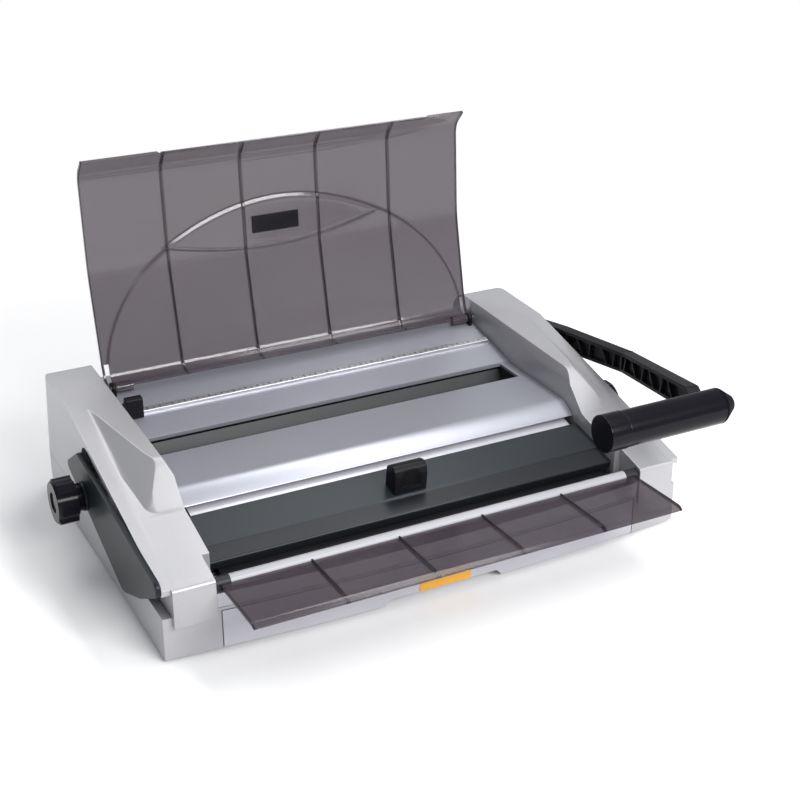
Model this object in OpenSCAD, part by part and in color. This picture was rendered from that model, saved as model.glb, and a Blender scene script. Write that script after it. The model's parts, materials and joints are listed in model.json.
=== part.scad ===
// Hand-operated punch and wire-closing binding machine for A4 paper.
// The frame: x = 0 on the middle plane, +y towards the back, z = 0 on the table.

/* [Base] */
// Width over the side walls
base_w = 407; // [400:1:420]
// Depth from the front corners to the foot of the back wall
base_d = 281; // [276:1:300]
// Height of the base tray above the table
base_h = 34; // [33:0.5:36]
// Wall of the base tray
base_wall = 2.5; // [2:0.1:3]
// How far the front bows out at its middle
front_bow = 10; // [4:1:14]
// Radius of the back corners
corner_r = 15; // [8:1:20]
// Width of the lip that the housings and the sill stand on
tray_lip_w = 10; // [9:0.5:12]
// Height of the rubber feet below the tray
foot_h = 2; // [1.5:0.5:3]
// Radius of the rubber feet
foot_r = 9; // [6:1:14]
// Distance of the feet from the side and back walls
foot_inset = 34; // [30:1:40]

/* [End housings] */
// Width of an end housing
housing_w = 42; // [40:0.5:46]
// Wall of the end housings
housing_wall = 2.5; // [2:0.1:3]
// Highest level of the housings
crest_z = 104; // [104:0.5:108]
// Height of the top edge at the very front
nose_z = 56; // [54:1:58]
// How far the nose stands in front of the tray corner
nose_out = 5; // [4:0.5:8]
// How far the nose hangs down over the tray front
nose_drop = 7; // [4:1:9]
// Slope of the long top edge in degrees
ridge_slope = 13; // [12:0.5:13.5]
// Slope of the shoulder in front of the crest in degrees
shoulder_slope = 44; // [40:1:52]
// Distance from the front corner to the foot of the shoulder
shoulder_y = 66.5; // [60:0.5:70]
// Width of the ledge between the outer edge and the foot of the crest
ledge_w = 13; // [8:0.5:15]
// Depth of the side recess beside the closing lever
recess_d = 6.5; // [4:0.5:7]
// Height of the rim left above the side recess
rim_h = 5; // [4:0.5:8]
// How far the back wall leans in at the crest
back_lean = 13; // [8:1:16]

/* [Deck and slot] */
// Thickness of the deck and back cover
deck_t = 2.5; // [2:0.1:3]
// Height of the flat front part of the deck
deck_z = 74.5; // [74:0.5:78]
// Radius of the rolled front edge of the deck
nosing_r = 24; // [22:1:26]
// Angle over which the front edge rolls down
nosing_sweep = 49; // [40:1:50]
// Distance from the front corners to the start of the rolled edge
nosing_y = 96.5; // [94:0.5:98]
// Length of the paper slot
slot_l = 305; // [298:1:305]
// Width of the paper slot
slot_w = 28.5; // [24:0.5:30]
// Distance from the front corners to the slot
slot_y = 145.5; // [144:0.5:147]
// Slope of the deck behind the slot in degrees
back_slope = 10.6; // [10:0.1:12]
// Height of the ruler strip above the deck
ruler_h = 2.4; // [1.5:0.1:3]
// Width of the ruler strip
ruler_w = 5; // [4:0.5:7]

/* [Punch] */
// Number of punch pins
pin_n = 34; // [20:1:34]
// Pitch of the punch pins, three to the inch
pin_pitch = 8.467; // [8:0.001:8.467]
// Side of a square punch pin
pin_s = 4; // [3:0.1:4.5]
// Clearance round a pin in the die and the guide
pin_clear = 0.15; // [0.1:0.05:0.3]
// Thickness of the die and guide plates
plate_t = 6; // [4:0.5:6]
// Gap for the paper between the plates
paper_gap = 3.5; // [2.5:0.1:3.5]
// Height of the die and guide plates
die_h = 13; // [11:0.5:13]
// Level of the pins
pin_z = 35.5; // [34.5:0.5:36]
// Radius of the punch shaft
shaft_r = 6; // [5:0.5:7]
// Height of the punch shaft
shaft_z = 68; // [66:1:70]
// Distance of the punch shaft from the foot of the back wall
shaft_back = 32.5; // [31:0.5:34]

/* [Handle] */
// Swing of the punch handle upwards, in degrees
handle_swing = 65; // [40:1:66]
// Thickness of the handle arm
arm_t = 10; // [8:0.5:11]
// Radius of the arm's hub
hub_r = 16; // [14:1:18]
// Radius of the grip
grip_r = 13; // [11:0.5:14]
// Length of the grip with its two end caps
grip_l = 109; // [90:1:115]
// Reach of the grip forward of the punch shaft
grip_reach = 298; // [290:1:304]
// Height of the grip above the punch shaft
grip_rise = 53; // [50:1:60]

/* [Wire closer] */
// Height of the lever's pivot
pivot_z = 52; // [50:0.5:53]
// Distance of the lever's pivot from the front corners
pivot_y = 152.5; // [151:0.5:154]
// Swing of the closing lever upwards, in degrees
lever_swing = 70; // [40:1:72]
// Thickness of the closing lever
lever_t = 4; // [3:0.5:5]
// Outer radius of the tube that the lever turns
tube_r = 6; // [5.5:0.5:6]
// Slope of the closing bar in degrees
bar_slope = 11.5; // [11:0.5:12]
// Depth of the closing bar
bar_w = 50; // [44:1:51]
// Thickness of the closing bar
bar_t = 8; // [6:0.5:8.5]
// Height of the bar's face above the lever's pivot, across its slope
bar_rise = 26; // [25.5:0.1:26.3]
// Black gap in front of the closing bar
wire_gap = 8; // [6:0.5:10]
// Width of the tab on the closing bar
tab_w = 26; // [20:1:34]
// Height of the tab
tab_h = 22; // [16:1:24]

/* [Knobs] */
// Radius of the two knobs
knob_r = 17; // [14:0.5:18]
// Length of the two knobs
knob_l = 20; // [16:1:24]
// Number of finger lobes on a knob
knob_lobes = 6; // [5:1:8]
// Turn of the knobs in degrees
knob_turn = 270; // [90:5:300]
// Radius of the knob shafts
knob_shaft_r = 4; // [3.5:0.1:4.2]
// Teeth of the two gears between the knobs
gear_teeth = 16; // [16:2:20]
// Pitch radius of the two gears between the knobs
gear_r = 16; // [15:0.5:16.5]
// Largest radius of the wire-size cam
cam_r = 9; // [8:0.5:9]

/* [Lid] */
// Width of the lid
lid_w = 321; // [312:1:322]
// Length of the lid from its hinge to its free edge
lid_l = 176; // [168:1:177]
// Thickness of the lid
lid_t = 2.2; // [1.8:0.1:2.6]
// Rise of the lid above its hinge
lid_rise = 14; // [12:0.5:15]
// Opening angle of the lid
lid_swing = 98; // [80:1:100]
// Number of panels between the lid's ribs
lid_panels = 5; // [3:1:7]
// Radius of the lid's hinge pins
lid_pin_r = 2; // [1.5:0.1:2.5]

/* [Front flap] */
// Width of the flap
flap_w = 328; // [318:1:330]
// Length of the flap from its hinge to its free edge
flap_l = 62; // [58:0.5:66]
// Thickness of the flap
flap_t = 2.2; // [1.8:0.1:2.4]
// Height of the flap's hinge
flap_z = 50; // [49:0.5:51]
// Radius of the flap's hinge rod
flap_rod_r = 4.5; // [4:0.1:5]
// Closing angle of the flap
flap_swing = 138; // [90:1:140]

/* [Chip drawer] */
// Width of the drawer's front panel
drawer_w = 327; // [310:1:328]
// Travel of the chip drawer
drawer_travel = 90; // [40:5:110]
// Wall of the chip drawer
drawer_wall = 1.6; // [1.2:0.1:2.5]
// Depth of the drawer's tray behind its front panel
tray_d = 160; // [130:1:162]
// Height of the drawer's tray
tray_h = 19; // [14:1:20]
// Half the width of the raised finger edge below the drawer
finger_half_w = 42; // [30:1:60]
// Height of the finger edge
finger_h = 4.5; // [3:0.5:6]

/* [Paper guide] */
// Width of the paper guide
guide_w = 13; // [10:0.5:16]
// Travel of the paper guide
guide_travel = 30; // [10:1:60]

/* [Hidden] */
$fn = 64;

// Colours
silver = "#b4b1bd";
silver_pale = "#c9c6cf";
smoke = "#6b6068";
slate = "#5a656b";
black = "#1d1d20";
steel = "#9a9ca0";
brass_col = "#b99a55";
amber = "#e2a32c";

// Running clearances: round a shaft, between moving flat faces, between fixed covers
run_c = 0.08;
side_c = 0.4;
seat_c = 0.3;
eps = 0.01;

// Main stations
side_x = base_w / 2;
inner_x = side_x - housing_w;
front_y = -base_d / 2;
back_y = base_d / 2;
nose_y = front_y - nose_out;
tray_z = foot_h;
floor_z = tray_z + base_wall;
recess_x = side_x - recess_d;
opening_x = drawer_w / 2 + 0.5;
flap_x = flap_w / 2;
nose_inner_x = flap_x + 3;

// Places across the machine, from the middle outwards
throat_t = 1.5;
slot_x = slot_l / 2;
rack_x = slot_x + throat_t + 0.6;
rack_t = 3.6;
frame_x = rack_x + rack_t + side_c;
frame_t = 2.4;
bush_r = 8;

// The lever's pivot, the punch shaft, the right knob's shaft, the two hinges
lever_y = front_y + pivot_y;
punch_y = back_y - shaft_back;
stub_dz = -4;
stub_y = lever_y - sqrt(pow(2 * gear_r, 2) - pow(stub_dz, 2));
stub_z = pivot_z + stub_dz;
lid_y = back_y - 44.5;
flap_y = front_y + 1;

// The paper slot and the deck line behind it
slot_front = front_y + slot_y;
slot_back = slot_front + slot_w;
lip_rise = 1;
function back_deck_z(y) = deck_z + lip_rise + (y - slot_back) * tan(back_slope);
knuckle_r = 4;
lid_z = back_deck_z(lid_y) + knuckle_r + 0.6;

// Pitch radius and module shared by the two rack drives
drive_r = 10;
drive_teeth = 16;
drive_m = 2 * drive_r / drive_teeth;
lever_stroke = drive_r * lever_swing * PI / 180;
punch_stroke = drive_r * handle_swing * PI / 180;

// The sill's back edge and, past the wire gap, the closing bar along its slope from the pivot
sill_d = 16.2;
sill_back = front_y + sill_d;
bar_front_u = (sill_back + wire_gap - lever_y + bar_rise * sin(bar_slope)) / cos(bar_slope);
bar_back_u = bar_front_u + bar_w;
nose_step_y = sill_back + 4.8;

// Plane geometry: outlines are lists of [y, z, corner radius], anticlockwise
function unit(v) = v / norm(v);
function cross2(a, b) = a[0] * b[1] - a[1] * b[0];
function pt(p) = [p[0], p[1]];
function prev(list, i) = list[(i + len(list) - 1) % len(list)];
function next(list, i) = list[(i + 1) % len(list)];
function left_of(a, b) = let (d = unit(pt(b) - pt(a))) [-d[1], d[0]];
function meet(p, d, q, e) = p + d * (cross2(q - p, e) / cross2(d, e));

// The outline moved inwards by t, with its corner radii kept in step
function inset(list, t) = [
    for (i = [0:len(list) - 1])
        let (
            a = prev(list, i), b = list[i], c = next(list, i),
            p = meet(
                pt(a) + left_of(a, b) * t, pt(b) - pt(a),
                pt(b) + left_of(b, c) * t, pt(c) - pt(b)
            ),
            turn = cross2(pt(b) - pt(a), pt(c) - pt(b))
        )
        [p[0], p[1], b[2] == 0 ? 0 : max(0.2, turn > 0 ? b[2] - t : b[2] + t)]
];

// The points of one rounded corner
function corner(a, b, c, n) =
    let (
        u = unit(pt(a) - pt(b)), v = unit(pt(c) - pt(b)),
        half = acos(u * v) / 2,
        centre = pt(b) + unit(u + v) * b[2] / sin(half),
        start = pt(b) + u * b[2] / tan(half) - centre,
        turn = cross2(u, v) < 0 ? 1 : -1,
        a0 = atan2(start[1], start[0]),
        sweep = 180 - 2 * half
    )
    [for (k = [0:n]) centre + b[2] * [cos(a0 + turn * sweep * k / n), sin(a0 + turn * sweep * k / n)]];

// The outline with its corners rounded
function rounded(list, n = 5) = [
    for (i = [0:len(list) - 1])
        each list[i][2] == 0 ? [pt(list[i])] : corner(prev(list, i), list[i], next(list, i), n)
];

// A y-z outline drawn out along x from x0 over a length
module along_x(x0, length) {
    translate([x0, 0, 0]) rotate([90, 0, 90]) linear_extrude(length) children();
}

// A round bar along x
module bar_x(x0, length, r, y, z) {
    translate([x0, y, z]) rotate([0, 90, 0]) cylinder(h = length, r = r);
}

// A block from its lowest to its highest corner
module block(low, high) {
    translate(low) cube(high - low);
}

// The left and the right copy of what is drawn on the +x side
module both_sides() {
    children();
    mirror([1, 0, 0]) children();
}

// What is drawn along the closing bar's slope: y is u, z is the height above the pivot
module on_slope() {
    translate([0, lever_y, pivot_z]) rotate([bar_slope, 0, 0]) children();
}

// Gear outline with involute flanks; back takes a little off each flank
function involute(rb, t) = [rb * (cos(t) + t * PI / 180 * sin(t)), rb * (sin(t) - t * PI / 180 * cos(t))];
function turned(p, a) = [p[0] * cos(a) - p[1] * sin(a), p[0] * sin(a) + p[1] * cos(a)];
function gear_points(teeth, pitch_r, back = 0.18) =
    let (
        m = 2 * pitch_r / teeth, rb = pitch_r * cos(20), tip = pitch_r + 0.9 * m, root = pitch_r - 1.2 * m,
        inv = tan(20) * 180 / PI - 20,
        half = 90 / teeth - back / pitch_r * 180 / PI + inv,
        top = sqrt(pow(tip / rb, 2) - 1) * 180 / PI,
        flank = [for (k = [0:4]) turned(involute(rb, top * k / 4), -half)]
    )
    [
        for (i = [0:teeth - 1])
            each [
                turned([root, 0], i * 360 / teeth - half),
                for (p = flank) turned(p, i * 360 / teeth),
                for (k = [4:-1:0]) turned([flank[k][0], -flank[k][1]], i * 360 / teeth),
                turned([root, 0], i * 360 / teeth + half)
            ]
    ];

// Rack outline with its teeth down: n teeth from x = 0, pitch line on y = 0, body above the roots
module rack_outline(n, m, body) {
    pitch = PI * m;
    base = 1.25 * m;
    tip = 0.9 * m;
    half_root = pitch / 4 + (base - 0.1) * tan(20) - 0.18;
    half_tip = pitch / 4 - (tip + 0.1) * tan(20) - 0.18;
    union() {
        translate([-pitch / 2, base - eps]) square([n * pitch, body + eps]);
        for (i = [0:n - 1])
            translate([i * pitch, 0])
                polygon([[-half_root, base], [-half_tip, -tip], [half_tip, -tip], [half_root, base]]);
    }
}

// The tray's outline in plan: bowed front, round back corners
function front_curve(x, out = 0) = front_y - out - front_bow * (1 - pow(x / side_x, 2));
bow_steps = 16;
function bow(out, half) = [
    for (i = [0:bow_steps]) let (x = -half + 2 * half * i / bow_steps) [x, front_curve(x, out)]
];
module tray_plan(t = 0) {
    r = corner_r - t;
    back = back_y - t;
    side = side_x - t;
    polygon(rounded(concat(
        [for (p = bow(-t, side)) [p[0], p[1], 0]],
        [[side, back, r], [-side, back, r]]
    ), 8));
}

// Base tray: floor, walls, inward lip round its top, opening for the chip drawer
module base_pan() {
    panel_seat = front_y + 2;
    color(silver) difference() {
        translate([0, 0, tray_z]) linear_extrude(base_h - tray_z) tray_plan();
        translate([0, 0, floor_z]) linear_extrude(base_h - 2 * base_wall - tray_z) tray_plan(base_wall);
        translate([0, 0, floor_z]) linear_extrude(base_h) tray_plan(tray_lip_w);
        block([-opening_x, front_y - 40, floor_z - 2 * base_wall], [opening_x, panel_seat, base_h - base_wall]);
        block([-opening_x, front_y - 40, floor_z], [opening_x, front_y + tray_lip_w, base_h - base_wall]);
    }
}

// Rubber feet under the tray: one near each corner and one in the middle, under the punch's load
module rubber_feet() {
    places = [
        [0, 0],
        for (x = [foot_inset - side_x, side_x - foot_inset], y = [front_y + foot_inset, back_y - foot_inset]) [x, y]
    ];
    color(black) for (c = places) translate([c[0], c[1], 0]) cylinder(h = foot_h, r = foot_r);
}

// Side outline of an end housing: nose, long slope, shoulder, crest, leaning back
shoulder_foot = [front_y + shoulder_y, nose_z + (shoulder_y + nose_out) * tan(ridge_slope)];
crest_front_z = crest_z - 5;
shoulder_top_y = shoulder_foot[0] + (crest_front_z - shoulder_foot[1]) / tan(shoulder_slope);
function back_wall_y(z) = back_y - back_lean * (z - base_h) / (crest_z - base_h);
function housing_outline(bottom) = [
    [nose_y, bottom, 0],
    [back_wall_y(bottom), bottom, 0],
    [back_wall_y(crest_z), crest_z, 12],
    [shoulder_top_y, crest_front_z, 16],
    [shoulder_foot[0], shoulder_foot[1], 9],
    [nose_y, nose_z, 3]
];

// What is drawn on the plane of the long top edge: y runs along it, z stands across it
module on_ridge() {
    translate([0, nose_y, nose_z]) rotate([ridge_slope, 0, 0]) children();
}

// Everything under the ledge and the crest's outer side, with a hollow round where they meet
outer_rise = 1.1;
ledge_x = side_x - ledge_w;
ledge_drop = 0.4;
module under_outer_side(t) {
    reach = 50;
    foot = ledge_x - t * (sqrt(1 + outer_rise * outer_rise) - 1) / outer_rise;
    top = -ledge_drop - t;
    on_ridge() translate([0, 2 * base_d, 0]) rotate([90, 0, 0]) linear_extrude(4 * base_d)
        polygon(rounded([
            [0, -2 * crest_z, 0], [side_x + reach, -2 * crest_z, 0], [side_x + reach, top, 0], [foot, top, 12 + t],
            [foot - reach, outer_rise * reach + top, 0], [0, outer_rise * reach + top, 0]
        ], 6));
}

// Everything under the ledge or inside the crest's round front corner
corner_facets = [18, 36, 54, 72];
module inside_front_corner(t) {
    r = 13;
    tall = crest_z - nose_z;
    low = 30;
    union() {
        on_ridge() block([0, -base_d, -3 * crest_z], [side_x + 50, 2 * base_d, ledge_drop - t]);
        intersection_for(a = corner_facets)
            translate([ledge_x - r, shoulder_foot[0] + r, shoulder_foot[1]]) rotate([0, 0, a])
                along_x(-base_d, 2 * base_d)
                    polygon([
                        [t - r - low / outer_rise, -low], [2 * base_d, -low], [2 * base_d, tall],
                        [t - r + tall / outer_rise, tall]
                    ]);
    }
}

// What is cut off the housing's inner top edge, along the slope of the crest
bevel_h = 10;
bevel_w = 4.5;
module over_inner_bevel(t) {
    slope = bevel_h / bevel_w;
    drop = t * sqrt(1 + slope * slope);
    fall = atan2(crest_z - crest_front_z, back_wall_y(crest_z) - shoulder_top_y);
    translate([0, lid_y, crest_z - bevel_h]) rotate([fall, 0, 0]) translate([0, base_d, 0])
        rotate([90, 0, 0]) linear_extrude(2 * base_d)
            polygon([
                [inner_x - 20, -20 * slope - drop], [inner_x + 40, 40 * slope - drop],
                [inner_x - 20, 40 * slope - drop]
            ]);
}

// Everything inside the outer side and its round back corner, which leans with the back wall
module inside_back_corner(t) {
    lean = atan(back_lean / (crest_z - base_h));
    back = eps - t;
    side = side_x - t;
    translate([0, back_y, base_h]) rotate([lean, 0, 0]) translate([0, 0, -2 * crest_z])
        linear_extrude(4 * crest_z)
            polygon(rounded([[0, -2 * base_d, 0], [side, -2 * base_d, 0], [side, back, corner_r - t], [0, back, 0]], 8));
}

// The solid form of a housing on the +x side, shrunk by t for its hollow
module housing_form(t, bottom) {
    difference() {
        intersection() {
            along_x(inner_x + t, housing_w)
                polygon(rounded(t == 0 ? housing_outline(bottom) : inset(housing_outline(bottom), t)));
            under_outer_side(t);
            inside_front_corner(t);
            inside_back_corner(t);
        }
        over_inner_bevel(t);
        block(
            [0, nose_y - 50, -100],
            [nose_inner_x + t, nose_step_y + t, 300]
        );
    }
}

// Recess in the housing's side, from the nose to behind the lever's pivot
recess_back = lever_y + 16;
module side_recess() {
    rim_z0 = nose_z - rim_h - 50 * tan(ridge_slope);
    rim_z1 = nose_z - rim_h + (recess_back - nose_y) * tan(ridge_slope);
    along_x(recess_x, recess_d + 20)
        polygon(rounded([
            [nose_y - 50, base_h - 20, 0], [recess_back, base_h - 20, 0],
            [recess_back, rim_z1, 14], [nose_y - 50, rim_z0, 0]
        ]));
}

// One end housing: a moulded shell that stands on the tray's lip
module housing() {
    wall = housing_wall;
    difference() {
        housing_form(0, base_h - nose_drop);
        block([0, front_y + nose_out, base_h - 50], [side_x + 1, base_d, base_h]);
        translate([0, 0, base_h - 50]) linear_extrude(50) tray_plan(-0.2);
        difference() {
            side_recess();
            block([0, nose_y - 50, -1], [side_x + 50, nose_y + 3, base_h]);
        }
        block([recess_x, nose_y - 50, -1], [side_x + 50, nose_y + 3.2, 300]);
        intersection() {
            housing_form(wall, -40);
            union() {
                block([0, -base_d, -50], [recess_x - wall, base_d, 300]);
                block([0, recess_back + wall, -50], [side_x - wall, base_d, 300]);
            }
            block([0, front_y + wall, -50], [side_x, base_d, 300]);
        }
        housing_holes();
    }
}

// Holes through a housing for the shafts, the flap's rod and the lid's pins
module housing_holes() {
    bar_x(inner_x - 5, 15, bush_r + 0.5, punch_y, shaft_z);
    bar_x(inner_x - 5, 15, bush_r + 0.5, lever_y, pivot_z);
    screw_heads(0.5);
    bar_x(nose_inner_x - 5, 5 + flap_rod_l - nose_inner_x + 0.5, flap_rod_r + run_c, flap_y, flap_z);
    bar_x(inner_x - 5, 5 + lid_pin_end - inner_x + 0.5, lid_pin_r + run_c, lid_y, lid_z);
}
flap_rod_l = nose_inner_x + 2.2;
lid_pin_end = inner_x + 2.2;

// The left housing also lets the lever's tube out through its side
module left_housing() {
    color(silver) difference() {
        mirror([1, 0, 0]) housing();
        bar_x(-side_x - 5, 20, tube_r + 0.5, lever_y, pivot_z);
    }
}

// The right housing lets out the punch shaft and the right knob's shaft
module right_housing() {
    color(silver) difference() {
        housing();
        bar_x(side_x - 15, 20, shaft_r + 0.5, punch_y, shaft_z);
        bar_x(inner_x - 1, housing_wall + 2, knob_shaft_r + 0.5, stub_y, stub_z);
        bar_x(recess_x - 2 * housing_wall, 3 * housing_wall, bush_r + 0.1, stub_y, stub_z);
    }
}

// Deck outline: flat front part with a rolled edge; the back part slopes up
deck_x = inner_x - seat_c;
nosing_start = front_y + nosing_y;
function nosing_arc(r) = [
    for (k = [0:8])
        let (a = nosing_sweep * k / 8)
        [nosing_start - r * sin(a), deck_z - nosing_r + r * cos(a)]
];
function reversed(list) = [for (i = [len(list) - 1:-1:0]) list[i]];
deck_end = back_y - 32.5;
module top_deck() {
    skin = deck_t;
    color(silver_pale) union() {
        difference() {
            along_x(-deck_x, 2 * deck_x)
                polygon(concat(
                    [[slot_back, deck_z - skin], [slot_back, deck_z]],
                    nosing_arc(nosing_r), reversed(nosing_arc(nosing_r - skin))
                ));
            block([-slot_x, slot_front, deck_z - 20], [slot_x, slot_back + 5, deck_z + 20]);
        }
        along_x(-deck_x, 2 * deck_x)
            polygon([
                [slot_back - eps, deck_z - skin], [deck_end, back_deck_z(deck_end) - skin],
                [deck_end, back_deck_z(deck_end)], [slot_back, back_deck_z(slot_back)],
                [slot_back - eps, back_deck_z(slot_back)]
            ]);
    }
}

// Back cover between the housings: a top strip and a leaning back wall
module rear_cover() {
    top = back_deck_z(deck_end);
    low = deck_end + seat_c;
    outline = [
        [low, top - deck_t, 0], [back_wall_y(top) - deck_t, top - deck_t, 4],
        [back_wall_y(base_h) - deck_t, base_h, 0], [back_wall_y(base_h), base_h, 0],
        [back_wall_y(top), top, 6.5], [low, top, 0]
    ];
    color(silver) along_x(-deck_x, 2 * deck_x) polygon(rounded(outline));
}

// Silver sill in front of the wire gap: a strip with the fixed jaw and a bowed front
sill_z = flap_z - flap_rod_r - 0.6;
module front_sill() {
    sill_x = nose_inner_x - seat_c;
    wall = 2.5;
    jaw_h = 16;
    color(silver_pale) union() {
        difference() {
            translate([0, 0, base_h]) linear_extrude(sill_z - base_h)
                polygon(concat(bow(0, sill_x), [[sill_x, sill_back], [-sill_x, sill_back]]));
            translate([0, 0, base_h - 1]) linear_extrude(sill_z - base_h + 1 - wall)
                polygon(concat(
                    bow(-wall, sill_x - wall), [[sill_x - wall, sill_back - wall], [wall - sill_x, sill_back - wall]]
                ));
        }
        block([seat_c - inner_x, sill_back - wall, sill_z - jaw_h], [inner_x - seat_c, sill_back, sill_z]);
    }
}

// The plates of the punch, from the front: die, paper gap, guide
die_front = slot_front + 10.9;
die_back = die_front + plate_t;
guide_front = die_back + paper_gap;
guide_back = guide_front + plate_t;
die_z0 = pin_z - die_h / 2;
die_z1 = pin_z + die_h / 2;

// Slate funnel of the paper slot: front wall, back ramp, two end walls
module paper_throat() {
    top = deck_z - deck_t;
    foot = die_z1 + 0.2;
    bend = 56;
    lip = slot_front + 0.2;
    ramp_y = slot_back + 3;
    ramp_z = deck_z - 5.5;
    t = throat_t;
    color(slate) union() {
        along_x(-slot_x - t, 2 * (slot_x + t)) union() {
            polygon([
                [lip, top], [lip - t * 1.5, top], [die_back - t, bend - 0.5], [die_back - t, foot],
                [die_back, foot], [die_back, bend]
            ]);
            polygon([
                [guide_front, foot], [guide_front + t, foot], [guide_front + t, foot + 3.5],
                [ramp_y + t, ramp_z - 1], [ramp_y + t, ramp_z], [ramp_y, ramp_z], [guide_front, foot + 4]
            ]);
        }
        both_sides()
            along_x(slot_x, t)
                polygon([
                    [lip, top], [die_back, bend], [die_back, foot], [guide_front, foot],
                    [guide_front, foot + 4], [ramp_y, ramp_z], [slot_back, top]
                ]);
    }
}

// Ruler strip on the deck behind the slot, on which the paper guide slides
ruler_y = slot_back + 30;
ruler_x = slot_x + 6;
module ruler_strip() {
    color(steel)
        along_x(-ruler_x, 2 * ruler_x)
            polygon([
                [ruler_y, back_deck_z(ruler_y)],
                [ruler_y + ruler_w, back_deck_z(ruler_y + ruler_w)],
                [ruler_y + ruler_w, back_deck_z(ruler_y + ruler_w) + ruler_h],
                [ruler_y, back_deck_z(ruler_y) + ruler_h]
            ]);
}

// Side outline of the inner frame: under the bar, under the flat deck, under the back deck
module frame_outline() {
    bar_y0 = front_y + 8;
    under_bar = bar_rise - bar_t - 0.8;
    z0 = pivot_z + (bar_y0 - lever_y) * tan(bar_slope) + under_bar;
    step_y = nosing_start - 3;
    z1 = pivot_z + (step_y - lever_y) * tan(bar_slope) + under_bar;
    polygon([
        [bar_y0 + 5, floor_z], [deck_end + 18, floor_z], [deck_end + 18, shaft_z],
        [deck_end - 1, back_deck_z(deck_end) - deck_t - 0.3],
        [slot_back, deck_z + lip_rise - deck_t - 1.5],
        [step_y + 12, deck_z - deck_t], [step_y, z1], [bar_y0 + 16, z0 + 8 * tan(bar_slope)],
        [bar_y0 + 16, base_h - 8], [bar_y0 + 5, base_h - 8]
    ]);
}

// Inner frame plate on the +x side, with seats for the bushes, the plates and the rods
module frame_plate() {
    difference() {
        along_x(frame_x, frame_t) frame_outline();
        for (c = [[punch_y, shaft_z], [lever_y, pivot_z]])
            bar_x(frame_x - 1, frame_t + 2, bush_r, c[0], c[1]);
    }
}
module left_frame_plate() {
    color(steel) mirror([1, 0, 0]) frame_plate();
}
module right_frame_plate() {
    color(steel) difference() {
        frame_plate();
        bar_x(frame_x - 1, frame_t + 2, bush_r - 2, stub_y, stub_z);
    }
}

// Three rods that hold the frame plates apart
rod_r = 4;
bed_low = 11.4;
rod_w = bed_low - rod_r;
bed_u = [bar_front_u + 3.3, bar_back_u + 0.4];
function slope_y(u, w) = lever_y + u * cos(bar_slope) - w * sin(bar_slope);
function slope_z(u, w) = pivot_z + u * sin(bar_slope) + w * cos(bar_slope);
back_rod = [punch_y + 12, 40];
rod_places = concat([for (u = bed_u) [slope_y(u, rod_w), slope_z(u, rod_w)]], [back_rod]);
module tie_rods() {
    color(steel) for (c = rod_places) bar_x(-frame_x, 2 * frame_x, rod_r, c[0], c[1]);
}

// A plate of the punch with its row of square holes and a tongue at each end
tongue_h = 9;
module pin_plate(y, t) {
    hole = pin_s + 2 * pin_clear;
    difference() {
        union() {
            block([-slot_x, y, die_z0], [slot_x, y + t, die_z1]);
            block([-frame_x, y, die_z0], [frame_x, y + t, die_z0 + tongue_h]);
        }
        for (i = [0:pin_n - 1])
            translate([(i - (pin_n - 1) / 2) * pin_pitch - hole / 2, y - 1, pin_z - hole / 2])
                cube([hole, t + 2, hole]);
    }
}
module die_plate() {
    color(steel) pin_plate(die_front, plate_t);
}
module guide_plate() {
    color(steel) pin_plate(guide_front, plate_t);
}

// Strip between the plates on which the sheets' edges stand
module paper_stop() {
    color(steel) block([-slot_x, die_back, die_z0], [slot_x, guide_front, die_z0 + 2.2]);
}

// Bed under the closing bar: a sloping plate on two ribs over the tie rods
bed_x = rack_x - side_c;
bed_top = bar_rise - bar_t - seat_c;
module closer_bed() {
    t = 3;
    rib = 5;
    color(black) on_slope() {
        block([-bed_x, bar_front_u - 6, bed_top - t], [bed_x, bar_back_u + 3, bed_top]);
        for (u = bed_u) block([-bed_x, u - rib / 2, bed_low], [bed_x, u + rib / 2, bed_top - t + eps]);
    }
}

// Flanged bushes for the punch shaft, the lever's tube and the right knob's shaft
module bush(r, length, outer) {
    rotate([0, 90, 0]) difference() {
        cylinder(h = length, r = outer);
        translate([0, 0, -1]) cylinder(h = length + 2, r = r + run_c);
    }
}
bush_l = 6;
module shaft_bushes() {
    color(brass_col) {
        both_sides() translate([frame_x, punch_y, shaft_z]) bush(shaft_r, bush_l, bush_r);
        both_sides() translate([frame_x, lever_y, pivot_z]) bush(tube_r, bush_l, bush_r);
        translate([frame_x, stub_y, stub_z]) bush(knob_shaft_r, frame_t, bush_r - 2);
        translate([recess_x - housing_wall, stub_y, stub_z]) bush(knob_shaft_r, housing_wall, bush_r + 0.1);
    }
}

// Two rails on the tray's floor beside the drawer
tray_x = inner_x - 12;
rail_x = tray_x + side_c;
module drawer_rails() {
    color(steel)
        both_sides()
            block([rail_x, front_y + 14, floor_z], [rail_x + 2.5, front_y + tray_d, floor_z + 8]);
}

// Screws: frame plates to the tie rods, die and guide tongues
module screw_heads(grow) {
    head_h = 1.4;
    for (c = rod_places) bar_x(frame_x + frame_t, head_h + grow, 3.5 + grow, c[0], c[1]);
    for (y = [die_front, guide_front])
        bar_x(frame_x + frame_t, head_h + grow, 2.5 + grow, y + plate_t / 2, die_z0 + tongue_h / 2);
}
module frame_screws() {
    color(steel) both_sides() screw_heads(0);
}

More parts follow.
